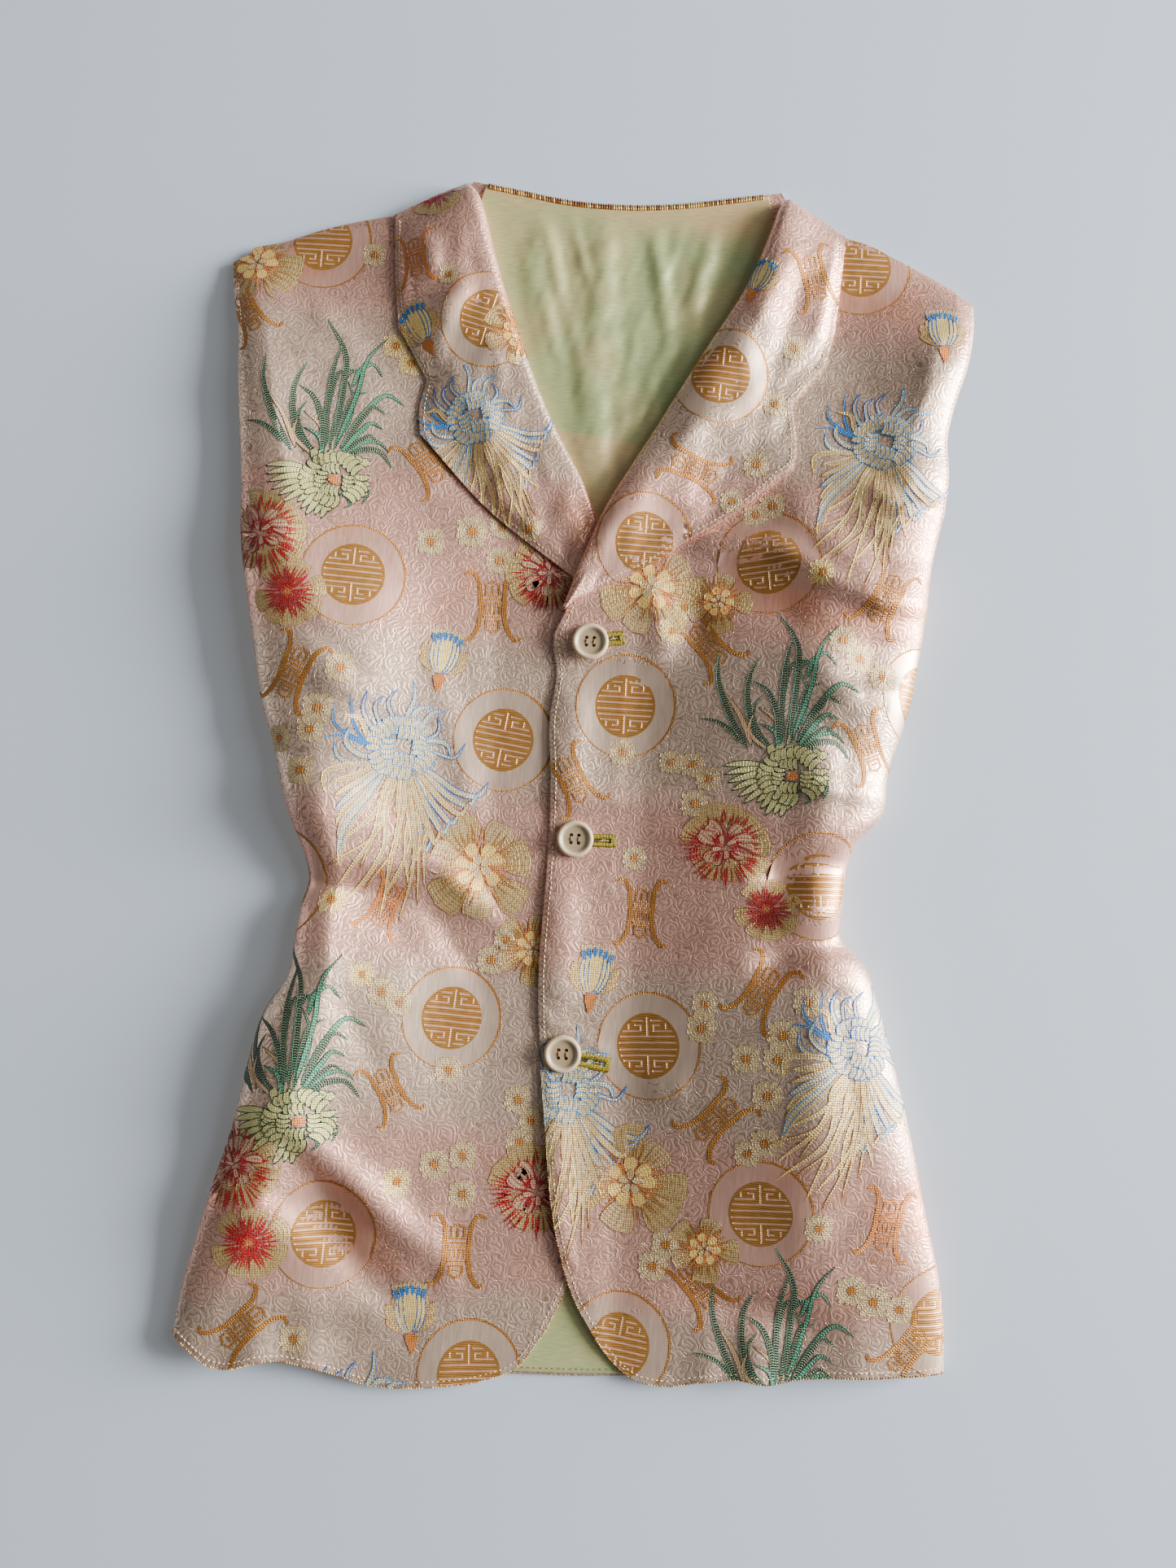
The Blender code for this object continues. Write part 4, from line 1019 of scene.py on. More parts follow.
cloths = {}
for side, hand in ((left, "Left"), (right, "Right")):
    for kind, makeGrid, slot in (("front", frontGrid, "brocade_pink"), ("lapel", lapelGrid, "lapel_brocade")):
        cloths[kind + hand] = makeCloth(
            kind + hand, *makeGrid(side), side, garment["cloth"], materials["brocade"], slot,
            kind + "_" + hand.lower())
print("fronts and lapels made")

lining = {
    "sideInset": 7.0, "shoulderInset": 10.0, "endInset": 1.5, "collarRoom": 12.0, "highest": 2.3,
    "wrinkles": ((-44, 8, 1.2), (-8, 9, 2.0), (44, 8, 1.0)),  # x, half width, height
    # x at the top, x at the foot, y at the top, y at the foot, half width, height
    "creases": (
        (-40, -28, 300, 256, 4.0, 1.2), (-26, -16, 306, 270, 3.0, 0.8), (18, 28, 300, 246, 5.0, 1.5),
        (34, 24, 306, 270, 3.0, 0.8), (52, 40, 304, 258, 4.0, 1.0), (-24, -14, 250, 206, 5.0, 0.9),
        (12, 6, 250, 190, 4.0, 0.7), (30, 14, 240, 196, 4.0, 0.8), (-38, -30, 262, 224, 4.0, 0.9),
    ),
}


def makeLining():
    insets = ("sideInset", "shoulderInset", "endInset", "collarRoom")
    top, hem, sides = backEdges(*[lining[key] for key in insets])
    joined = np.vstack(top)
    ends = shares(joined)[[len(top[0]), len(top[0]) + len(top[1]) - 1]]
    # close columns and rows only where the lining shows
    across = np.concatenate([
        np.linspace(0, ends[0], 10), np.linspace(*ends, 90)[1:], np.linspace(ends[1], 1, 10)[1:],
    ])
    down = np.concatenate([np.linspace(0, 0.40, 96), np.linspace(0.41, 0.9, 30), np.linspace(0.91, 1, 16)])
    flat = patch(joined, hem, along(sides[left], down), along(sides[right], down), across, down)
    x, y = flat[..., 0], flat[..., 1]
    insideCollar = smooth((0.34 * (y - 128) - np.abs(x) + 10) / 14)
    opening = ramp(y, 130, 190) * ramp(y, 312, 282) * insideCollar
    wrinkles = sum(height * bell((x - at) / width) for at, width, height in lining["wrinkles"])
    for x0, x1, y0, y1, width, height in lining["creases"]:
        t = (y0 - y) / (y0 - y1)
        wrinkles = wrinkles + height * bell((x - x0 - (x1 - x0) * t) / width) * fadeEnds(t, 0.4, 0.2)
    wrinkles = wrinkles + 0.20 * ripple(x, y, 18, 71) + 0.10 * ripple(x, y, 8, 73)
    level = layer + garment["silk"] / 2 + opening * np.clip(wrinkles, 0, lining["highest"])
    grid = np.stack([x, y, level], axis=-1)
    return makeCloth("backLining", grid, flat, right, garment["silk"], materials["lining"],
                     "silk_lining", "back_lining")


def makeBack():
    # the back lies flat on the table: its outline, filled and given the cloth's thickness
    top, hem, sides = backEdges(0.0, 0.5, 0.0, 0.0)
    outline = np.vstack([run[::2] for run in top] + [sides[right][:-1:2], hem[::-2], sides[left][-2:1:-2]])
    outline = outline + np.array(garment["shift"])
    shift = Vector((*garment["shift"], 0.0))
    shape = bmesh.new()
    face = shape.faces.new([shape.verts.new((x * mm, y * mm, garment["cloth"] * mm)) for x, y in outline])
    face.normal_update()
    if face.normal.z < 0:
        face.normal_flip()
    for part in bmesh.ops.extrude_face_region(shape, geom=[face])["geom"]:
        if isinstance(part, bmesh.types.BMVert):
            part.co.z = 0.0
    bmesh.ops.recalc_face_normals(shape, faces=shape.faces)
    bmesh.ops.triangulate(shape, faces=[f for f in shape.faces if len(f.verts) > 4])
    uv = shape.loops.layers.uv.new("cloth")
    for face in shape.faces:
        for loop in face.loops:
            loop[uv].uv = (loop.vert.co - shift * mm).xy
    mesh = meshFrom(shape, "back")
    mesh.materials.append(materials["brocade"])
    thing = link(bpy.data.objects.new("backPanel", mesh), "brocade_pink", "back")
    softenRim(thing)
    low = [f for f in mesh.polygons if f.normal.z < -0.5]
    places = [Vector((v.co.x, v.co.y, 0.0)) / mm for v in mesh.vertices]
    flatPlaces = [p - shift for p in places]
    triangles = [list(f.vertices) for f in low]
    return {
        "thing": thing, "wall": 0.0, "area": sum(f.area for f in low), "triangles": triangles,
        "places": places, "flatPlaces": flatPlaces, "flatTree": BVHTree.FromPolygons(flatPlaces, triangles),
        "outs": [Vector((0.0, 0.0, -1.0))] * len(places),
    }


cloths["lining"] = makeLining()
cloths["back"] = makeBack()
print("back and lining made")


# Woven figures
# A figure is a list of strips in its own millimetres: middle line, half widths, thread, level, columns.
def strip(shapes, path, halfWidths, thread, level, across=1):
    shapes.append((np.asarray(path, float), np.asarray(halfWidths, float), thread, level, across))


def profile(steps, width, root, tip):
    t = np.linspace(0, 1, steps)
    shape = t**root * (1 - t) ** tip
    return width / 2 * shape / shape.max() + 0.04


def polar(radius, angle):
    return radius * math.cos(math.radians(angle)), radius * math.sin(math.radians(angle))


def petal(shapes, x, y, heading, length, width, thread, level, bend=0.0, root=0.7, tip=0.5, steps=7):
    # a petal that starts here, heads this way and turns by bend degrees on its way
    t = np.linspace(0, 1, steps)
    angles = np.radians(heading + bend * (t[:-1] + t[1:]) / 2)
    stride = np.stack([np.cos(angles), np.sin(angles)], axis=1) * length / (steps - 1)
    path = np.vstack([[x, y], np.array([x, y]) + np.cumsum(stride, axis=0)])
    strip(shapes, path, profile(steps, width, root, tip), thread, level, 2 if width > 5 else 1)


def flowing(shapes, thread, width, points, level, root=0.4, tip=0.65, steps=5):
    # a long petal or blade through a few points
    line = lineThrough(points, steps=steps)
    strip(shapes, line, profile(len(line), width, root, tip), thread, level)


def disc(shapes, x, y, rx, ry, thread, level, across=2, steps=13):
    angles = np.linspace(0.06, math.pi - 0.06, steps)
    path = np.stack([x - rx * np.cos(angles), np.full(steps, y)], axis=1)
    strip(shapes, path, ry * np.sin(angles), thread, level, across)


def ring(shapes, rx, ry, width, thread, level, steps=73):
    angles = np.linspace(0, 2 * math.pi, steps)
    path = np.stack([rx * np.cos(angles), ry * np.sin(angles)], axis=1)
    strip(shapes, path, width / 2 * (1 + 0.35 * np.sin(angles + 0.8)), thread, level)


def bars(shapes, points, width, thread, level):
    # straight bars from point to point, each its own strip so that the corners stay square
    for a, b in zip(np.array(points[:-1], float), np.array(points[1:], float)):
        length = np.linalg.norm(b - a)
        past = (b - a) / length * width / 2
        count = max(2, int(length / 5) + 2)
        strip(shapes, np.linspace(a - past, b + past, count), np.full(count, width / 2), thread, level)


def medallion():
    # a disc of key fret in a plain round field
    shapes = []
    disc(shapes, 0, 0, *medallionField, "satin", 0, across=10, steps=25)
    ring(shapes, *medallionField, 0.9, "gold", 1)
    disc(shapes, 0, 0, *medallionDisc, "medallion", 2, across=10, steps=21)
    return shapes


fretRibbon = (
    (-15, 17.0), (-11, 18.6), (-7.2, 13.5), (-6.4, 6), (-6.0, 0), (-6.6, -7), (-8.5, -13), (-12.5, -17.5),
    (-15.5, -16.0),
)
fretColumn = (  # the runs of bars between the ribbons
    ((-3.4, 6.5), (-3.4, 12), (0, 13.6), (3.4, 12), (3.4, 6.5), (-3.4, 6.5)), ((0, 6.5), (0, 11)),
    ((-4.2, 4.4), (4.2, 4.4)), ((-4.2, 2.4), (4.2, 2.4)),
    ((-3.6, 0.9), (-3.6, -3.2), (-1.2, -3.2), (-1.2, 0.9)),
    ((1.2, -3.2), (1.2, 0.9), (3.6, 0.9), (3.6, -3.2)), ((-4.2, -5.2), (4.2, -5.2)),
    ((-3.4, -7), (-3.4, -11.5), (0, -13.2), (3.4, -11.5), (3.4, -7), (-3.4, -7)), ((-1.2, -9.2), (1.2, -9.2)),
)


def fretOrnament(thread="gold"):
    # a narrow column of fret between two ribbons that curl out at their ends
    shapes = []
    for s in (-1, 1):
        flowing(shapes, thread, 2.4, [(s * x, y) for x, y in fretRibbon], 1, root=0.3, tip=0.3)
    for run in fretColumn:
        bars(shapes, run, 1.1, thread, 1)
    return shapes


def curls(shapes, x, y, rx, ry, thread, level, count, seed, size=1.0):
    # the ball of a chrysanthemum: combs of curved petals that lie round its middle like locks of hair
    rng = random.Random(seed)
    for k in range(count):
        angle = 360 * k / count + rng.uniform(-12, 12)
        turn = rng.choice((-1, 1))
        middle = np.array([x + rx * polar(1, angle)[0], y + ry * polar(1, angle)[1]])
        comb = np.array(polar(1, angle + 90 * turn))
        for i in range(4):
            px, py = middle + comb * (i - 1.5) * 2.4 * size
            length = (8.8 - 0.6 * abs(i - 1.5)) * size
            petal(shapes, px, py, angle - turn * 50, length, 3.1 * size, thread, level + 0.5 * k + 0.45 * i,
                  bend=turn * (95 + rng.uniform(-10, 10)), root=0.45, tip=0.4, steps=8)


tuftBlades = (  # thread, width, and the points that each blade runs through
    ("blade", 3.0, (-22, 12), (-34, 34), (-39, 50), (-39, 65)),
    ("blade", 3.0, (-15, 12), (-23, 34), (-23, 50), (-18, 62)),
    ("blade", 2.8, (-7, 15), (-9, 34), (-14, 44), (-22, 49)),
    ("blade", 3.3, (-3, 16), (1, 46), (1, 68), (-10, 87)),
    ("blade", 2.6, (-6, 16), (-6, 44), (-4, 62), (-1, 74)),
    ("blade", 3.0, (-5, 16), (-5, 46), (-1, 58), (10, 60)),
    ("blade", 2.6, (-1, 16), (1, 44), (3, 56), (9, 61)),
    ("mintBlade", 2.2, (0, 18), (9, 48), (13, 68), (22, 80)),
    ("mintBlade", 2.4, (6, 50), (10, 61), (15, 64), (21, 57)),
    ("blade", 2.8, (-1, 14), (4, 36), (8, 46), (14, 48)),
    ("mintBlade", 3.0, (2, 16), (14, 38), (24, 48), (33, 43)),
    ("blade", 3.0, (3, 16), (12, 34), (18, 41), (24, 37)),
    ("mintBlade", 2.6, (3, 14), (12, 27), (17, 32), (23, 29)),
    ("blade", 2.4, (3, 13), (12, 22), (17, 25), (22, 20)),
    ("blade", 3.4, (5, 12), (14, 17), (22, 17), (30, 8)),
    ("mintBlade", 2.2, (5, 12), (14, 21), (21, 22), (27, 17)),
    ("blade", 3.0, (11, 2), (16, -2), (18, -7), (16, -13)),
    ("blade", 2.4, (4, -8), (9, -10), (10, -13), (7, -16)),
    ("blade", 2.2, (-26, 16), (-34, 24), (-40, 27), (-48, 28)),
    ("khakiBlade", 2.6, (-20, 14), (-28, 32), (-36, 43)), ("khakiBlade", 2.4, (-6, 14), (-9, 28), (-18, 35)),
    ("khakiBlade", 2.0, (-2, 14), (0, 22), (6, 26)), ("mintBlade", 2.4, (-6, 12), (-9, 22), (-17, 26)),
    ("blade", 2.0, (-9, 12), (-16, 20), (-20, 34), (-16, 41)),
    ("khakiBlade", 2.2, (-12, 12), (-22, 22), (-20, 32)),
    ("mintBlade", 1.8, (-2, 16), (5, 30), (7, 44), (3, 54)),
)


def orchidTuft(flower=True):
    # a tuft of blades, with or without the green flower at its foot
    shapes = []
    rng = random.Random(5)
    for k, (thread, width, *points) in enumerate(tuftBlades):
        flowing(shapes, thread, width, points, 2 + (k * 2) % 5, root=0.3, tip=0.75, steps=6)
    if flower:
        for k in range(12):
            length = 27 - 1.0 * k + rng.uniform(-3, 2)
            petal(shapes, -8 + 0.7 * k, 1 - 0.6 * k, 154 + 11.5 * k, length, 3.9, "greenPetal", 2 + k % 3,
                  bend=44 - 6 * k, root=0.4, steps=9)
        for k in range(7):
            petal(shapes, -8 + 3 * k, 7, 118 - 14 * k, 9, 4.8, "greenPetal", 5 + k % 2,
                  bend=-16, root=0.6, tip=0.35)
        curls(shapes, 1, -1, 9.0, 6.4, "greenPetal", 6, 7, 11, size=1.2)
        curls(shapes, 1, -1, 3.6, 2.8, "greenPetal", 9, 4, 12, size=0.9)
        disc(shapes, 1, -1.2, 3.0, 2.1, "orange", 15, steps=9)
    return shapes


mumHooks = (  # thread, width, and the points of each curling petal round the head
    ("blue", 2.3, (-6, -3), (-17, 0), (-24, 10), (-26, 26)),
    ("blue", 2.0, (-6, -4), (-20, 0), (-30, 3), (-39, 1)),
    ("blue", 2.0, (-7, -2), (-24, 3), (-33, 9), (-34, 19)),
    ("bluePetal", 2.4, (-5, 0), (-15, 8), (-20, 18), (-18, 27)),
    ("bluePetal", 2.2, (-4, 2), (-12, 12), (-14, 20), (-10, 25)),
    ("palePetal", 2.4, (-8, -6), (-20, -6), (-27, 0), (-26, 8)),
    ("palePetal", 2.4, (-8, -8), (-22, -11), (-30, -8), (-33, 0)),
    ("creamPetal", 2.2, (-10, -10), (-26, -12), (-36, -17), (-34, -28)),
    ("palePetal", 2.4, (2, 4), (4, 14), (8, 20), (15, 21)),
    ("palePetal", 2.2, (0, 4), (2, 16), (5, 25), (4, 34)),
    ("bluePetal", 2.4, (4, 2), (12, 4), (18, 9), (17, 17)),
    ("palePetal", 2.2, (5, 0), (15, 4), (23, 2), (25, -4)),
    ("bluePetal", 2.2, (-2, 4), (-5, 14), (-8, 22), (-4, 29)),
    ("palePetal", 2.2, (3, 3), (10, 12), (14, 18), (22, 20)),
    ("creamPetal", 2.0, (-7, -5), (-17, 4), (-21, 12), (-29, 13)),
    ("bluePetal", 2.0, (5, -3), (16, -2), (27, -4), (32, 4)),
)
mumTips = (  # where the long hanging petals end
    (-27, -54), (-30, -62), (-28, -72), (-20, -66), (-22, -80), (-13, -74), (-9, -86), (-4, -70), (-1, -80),
    (4, -88), (6, -72), (11, -80), (12, -64), (17, -70), (20, -56),
)
# by how much the petals of each thread are widened
hookWidth = {"blue": 0.7, "bluePetal": 1.05, "palePetal": 1.3, "creamPetal": 1.3}


def trailingMum(seed, ball):
    # a curled blue and cream head with long petals that hang from it
    shapes = []
    rng = random.Random(seed)
    for k, (thread, width, *points) in enumerate(mumHooks):
        flowing(shapes, thread, hookWidth[thread] * width, points, 3 + k % 3, root=0.5, tip=0.7)
    archThreads = ("bluePetal", "palePetal", "goldPetal")
    fallThreads = ("creamPetal", "goldPetal", "palePetal")
    for k in range(7):  # nested arches to the right, and petals that fall to the left
        size, sink = 1 - 0.1 * k, 5.0 * k
        reach = ((3, -7), (16 * size, -13 - 0.4 * sink), (31 * size, -22 - 0.7 * sink),
                 (40 * size, -23 - sink), (45 * size, -15 - sink))
        flowing(shapes, archThreads[k % 3], 3.5, reach, 3 + k % 3, root=0.5, tip=0.6)
        reach = ((-4, -7), (-14, -13 - 0.5 * sink), (-24 - 0.3 * k, -18 - 1.1 * sink),
                 (-31 + 0.8 * k, -21 - 1.4 * sink))
        flowing(shapes, fallThreads[k % 3], 3.4, reach, 3 + k % 3, root=0.5, tip=0.5)
    for k, (tx, ty) in enumerate(mumTips):
        tx, ty = tx + rng.uniform(-1.5, 1.5), ty + rng.uniform(-3, 3)
        sway = 3.5 * math.sin(1.7 * k)
        reach = ((0.3 * k - 1, -9), (0.5 * tx + 7 - 0.2 * k, 0.30 * ty - 6),
                 (0.55 * tx + 6 + sway, 0.62 * ty), (tx - sway, ty))
        flowing(shapes, ("creamPetal", "goldPetal")[k % 2], 2.6, reach, 2 + (k * 2) % 5 * 0.5,
                root=0.35, tip=0.5, steps=6)
    curls(shapes, 0, -1, 8.6, 7.0, ball, 6, 8, seed + 20, size=1.25)
    curls(shapes, 1, 0, 3.8, 3.2, ball, 11, 4, seed + 40, size=1.05)
    return shapes


def lobes(shapes, thread, angles, start, length, width, level, rng):
    for k, angle in enumerate(angles):
        x, y = polar(start, angle)
        petal(shapes, x, y, angle + rng.uniform(-6, 6), length * rng.uniform(0.92, 1.1),
              width * rng.uniform(0.9, 1.1), thread, level + 0.6 * (k % 3),
              bend=rng.uniform(-10, 10), root=0.8, tip=0.28, steps=10)


def hairs(shapes, thread, first, last, step, start, length, level, rng, width=0.8):
    for angle in np.arange(first, last, step):
        x, y = polar(start * rng.uniform(0.9, 1.1), angle)
        petal(shapes, x, y, angle + rng.uniform(-12, 12), length * rng.uniform(0.75, 1.2), width, thread,
              level, bend=rng.uniform(-20, 20), root=0.25, tip=0.8, steps=4)


peonyPetals = (  # angle, where it starts, length
    (12, 6, 10), (44, 5, 11), (74, 6, 9), (104, 5, 12), (140, 6, 9), (176, 5, 11), (214, 5, 9), (256, 4, 9),
    (306, 5, 8),
)


def redPeony(seed):
    # khaki lobes on one side, and red fringes round loose cream petals
    shapes = []
    rng = random.Random(seed)
    lobes(shapes, "lobe", (-28, 8, 42, 78, 116, 158), 9, 15, 14, 1, rng)
    lobes(shapes, "lobe", (206, 246, 292), 6, 13, 12, 1, rng)
    hairs(shapes, "red", -40, 210, 6.5, 12.5, 7.0, 4, rng, 0.9)
    hairs(shapes, "red", 150, 340, 6.0, 11.0, 11.0, 4, rng, 0.9)
    for angle, start, length in peonyPetals:
        x, y = polar(start, angle)
        petal(shapes, x, 0.8 * y + 1, angle + rng.uniform(-24, 24), length, rng.uniform(4.6, 7.6), "redPetal",
              5 + angle % 3, bend=rng.uniform(-40, 40), tip=0.35, steps=8)
    hairs(shapes, "red", 0, 360, 13, 3.4, 6.0, 9, rng)
    for angle in (40, 120, 200, 290):
        x, y = polar(1.2, angle)
        petal(shapes, x, y, angle, 5.6, 3.6, "redPetal", 10 + (angle // 10) % 2,
              bend=rng.uniform(-40, 40), tip=0.35)
    return shapes


def redBurst():
    # a smaller flower: a ball of red hairs over khaki lobes
    shapes = []
    rng = random.Random(3)
    lobes(shapes, "lobe", (-160, -118, -76, -34, 12, 70, 130), 7, 11.5, 11.5, 1, rng)
    hairs(shapes, "red", 0, 360, 7.0, 6.0, 7.5, 4, rng, 0.75)
    hairs(shapes, "red", 0, 360, 10.0, 2.6, 6.0, 5, rng, 0.75)
    hairs(shapes, "orange", 0, 360, 40, 0.4, 3.0, 6, rng)
    hairs(shapes, "red", 0, 360, 36, 1.2, 3.4, 7, rng)
    return shapes


def goldPeony(seed, size=1.0, count=7, heart="creamPetal"):
    shapes = []
    rng = random.Random(seed)
    angles = [360 * k / count + rng.uniform(-10, 10) for k in range(count)]
    lobes(shapes, "lobe", angles[::2], 8 * size, 19 * size, 18 * size, 1, rng)
    lobes(shapes, "goldLobe", angles[1::2], 7 * size, 18 * size, 16 * size, 2.5, rng)
    hairs(shapes, "gold", 0, 360, 9.0, 11 * size, 9 * size, 4.5, rng, 0.7)
    hairs(shapes, "orange", 0, 360, 6.5, 6 * size, 7.5 * size, 5, rng)
    for k in range(7):
        x, y = polar(3.4 * size, 51 * k)
        petal(shapes, x, y, 51 * k + rng.uniform(-12, 12), 9 * size, 6.4 * size, "orangePetal", 6 + k % 2,
              bend=rng.uniform(-25, 25), tip=0.32)
    hairs(shapes, "orange", 0, 360, 18, 2.5 * size, 4 * size, 8, rng)
    for k in range(5):
        x, y = polar(0.8 * size, 72 * k + 20)
        petal(shapes, x, y, 72 * k + 20, 5.4 * size, 4.0 * size, heart, 9 + k % 2, tip=0.35)
    return shapes


def bud():
    # a closed flower on a cone, with feathered leaves at its sides
    shapes = []
    for s in (-1, 1):
        for lean, length, width in ((26, 17, 4.6), (44, 15, 4.2), (62, 11, 3.4)):
            petal(shapes, s * 2.0, -9, 90 - s * lean, length, width, "lobe", 1, bend=s * 22, tip=0.4)
    for k in range(9):
        petal(shapes, -6.0 + 1.5 * k, 7, 90 - 4.0 * (k - 4), 5.5 - abs(k - 4) * 0.3, 1.6, "daisyPetal", 1,
              tip=0.3)
    for lean, length, level in ((24, 18.0, 3), (-24, 18.0, 3), (12, 19.0, 5), (-12, 19.0, 5), (0, 19.5, 7)):
        petal(shapes, -0.06 * lean, -9.5, 90 + lean, length, 6.2, "budPetal", level,
              bend=-lean * 1.7, root=0.6, tip=0.32, steps=9)
    for x in (-5.0, -3.0, -1.0, 1.0, 3.0, 5.0):
        petal(shapes, x, 6.2 - 0.06 * x * x, 90 - 5 * x, 4.6, 1.7, "blue", 9, steps=5)
    petal(shapes, 0, -18, 90, 9.5, 5.6, "orange", 8, root=1.1, tip=0.25)
    return shapes


def daisy(thread="daisyPetal", petals=13, radius=8.0):
    shapes = []
    for k in range(petals):
        angle = 360 * k / petals + 7
        length = radius - 1.6 + 0.7 * (k % 3 - 1)
        petal(shapes, *polar(1.8, angle), angle, length, 3.0, thread, 1 + 0.4 * (k % 2), root=1.1, tip=0.3)
    disc(shapes, 0, 0, 2.3, 2.0, "gold", 3, steps=9)
    return shapes


figureMakers = {
    "medallion": [medallion()], "fret": [fretOrnament()], "orangeFret": [fretOrnament("orange")],
    "tuft": [orchidTuft()], "blades": [orchidTuft(flower=False)],
    "mum": [trailingMum(1, "palePetal"), trailingMum(2, "bluePetal")],
    "redPeony": [redPeony(1), redPeony(4)], "redBurst": [redBurst()],
    "goldPeony": [goldPeony(7), goldPeony(9, heart="goldPetal")],
    "smallGold": [goldPeony(12, 0.62, 5, "goldPetal")],
    "bud": [bud()], "daisy": [daisy()], "whiteDaisy": [daisy("creamPetal")],
}

# Where each figure lies, in whole millimetres as seen from above: x, y, lean to the left, size in percent
figurePlaces = {
    "frontLeft": {
        "medallion": ((-158, 282, 0, 100), (-126, 99, 0, 100), (-45, 20, -8, 100), (-62, -123, -4, 96),
                      (-118, -232, 0, 100), (-42, -297, 3, 100), (-154, -59, 0, 100)),
        "fret": ((-94, 163, 40, 92), (-55, 89, 3, 100), (-152, 46, -22, 100), (-90, -160, 28, 84),
                 (-52, -238, 0, 96), (-154, -278, -45, 96), (-193, 237, 35, 90)),
        "orangeFret": ((-99, -68, -20, 84),),
        "tuft": ((-141, 150, 0, 100), (-133, -174, 4, 100)),
        "mum": ((-96, 13, 0, 100), (-94, -322, 0, 100)),
        "redPeony": ((-174, 117, 0, 100), (-163, -199, 10, 100), (-14, -207, 0, 104), (-26, 109, 60, 96)),
        "redBurst": ((-157, 87, 0, 100), (-153, -236, 10, 104)),
        "goldPeony": ((-53, -46, 20, 106), (-192, 267, 0, 92)),
        "smallGold": ((-23, -86, 0, 120),),
        "bud": ((-78, 62, -8, 114), (-73, -268, 6, 118)),
        "daisy": ((-89, 121, 0, 96), (-68, 128, 0, 110), (-53, 132, 0, 84), (-53, 114, 0, 96),
                  (-128, 50, 0, 100), (-138, 29, 0, 106), (-141, 18, 0, 90), (-157, 13, 0, 90),
                  (-144, -3, 0, 100), (-97, -111, 0, 92), (-88, -116, 0, 84), (-62, -149, 0, 92),
                  (-44, -93, 0, 96), (-37, -82, 0, 84), (-26, -162, 0, 92), (-19, -172, 0, 84),
                  (-24, -183, 0, 90), (-66, -196, 0, 96), (-52, -191, 0, 90), (-51, -210, 0, 92),
                  (-129, -283, 0, 92), (-130, 276, 0, 84)),
        "whiteDaisy": ((-115, 226, 0, 92), (-106, 217, 0, 92), (-84, -205, 0, 92), (-125, -67, 0, 90),
                       (-107, -103, 0, 80)),
    },
    "frontRight": {
        "medallion": ((86, 118, 8, 100), (17, 41, 0, 100), (118, -46, 3, 100), (38, -131, 5, 100),
                      (97, -208, 5, 98), (31, -279, -8, 100), (188, -256, 0, 100), (162, 53, 0, 92),
                      (130, 284, 0, 100)),
        "fret": ((144, 100, -25, 96), (58, 74, 40, 92), (-8, 1, 30, 92), (31, -65, 0, 92), (139, 24, 25, 92),
                 (92, -100, -28, 96), (73, -164, -40, 96), (69, -247, 40, 96), (172, -270, -40, 90)),
        "orangeFret": ((158, -209, -10, 92),),
        "tuft": ((101, 9, 0, 96),),
        "blades": ((114, -306, 0, 96),),
        "mum": ((143, 185, -10, 92), (140, -123, -12, 92), (-2, -155, 0, 96)),
        "redPeony": ((71, -29, 0, 94),),
        "redBurst": ((93, -59, 0, 88),),
        "goldPeony": ((27, 103, 0, 100), (33, -199, 0, 104)),
        "smallGold": ((62, 97, 0, 106), (71, -228, 0, 106)),
        "bud": ((172, 247, 0, 112), (9, -96, -6, 118)),
        "daisy": ((87, 148, 0, 90), (79, 143, 0, 84), (124, 78, 0, 92), (133, 69, 0, 100), (145, 60, 0, 96),
                  (17, 17, 0, 92), (53, 12, 0, 84), (61, 5, 0, 80), (55, -8, 0, 92), (42, 13, 0, 80),
                  (114, -103, 0, 92), (103, -120, 0, 100), (86, -133, 0, 92), (101, -132, 0, 92),
                  (97, -150, 0, 96), (64, -120, 0, 96), (65, -108, 0, 84), (97, -173, 0, 92),
                  (89, -179, 0, 84), (52, -228, 0, 92), (46, -239, 0, 96), (125, -212, 0, 90),
                  (143, -242, 0, 96), (154, -247, 0, 100), (167, -250, 0, 92), (26, -37, 0, 84)),
        "whiteDaisy": ((45, 94, 0, 90), (39, 81, 0, 90), (112, 112, 0, 84)),
    },
    "lapelLeft": {
        "medallion": ((-66, 240, -14, 96),),
        "mum": ((-70, 188, 22, 84),),
        "bud": ((-103, 236, 30, 108),),
        "orangeFret": ((-107, 272, 10, 80),),
        "smallGold": ((-51, 234, 0, 110),),
        "redBurst": ((-100, 312, 0, 90),),
        "daisy": ((-38, 131, 0, 84), (-88, 262, 0, 70)),
    },
    "lapelRight": {
        "medallion": ((57, 216, -4, 96), (22, 126, 0, 96)),
        "fret": ((46, 166, 70, 92), (104, 273, 20, 92)),
        "bud": ((75, 271, -20, 92),),
        "daisy": ((78, 170, 0, 92), (86, 203, 0, 84), (95, 234, 0, 84), (66, 150, 0, 80)),
    },
}
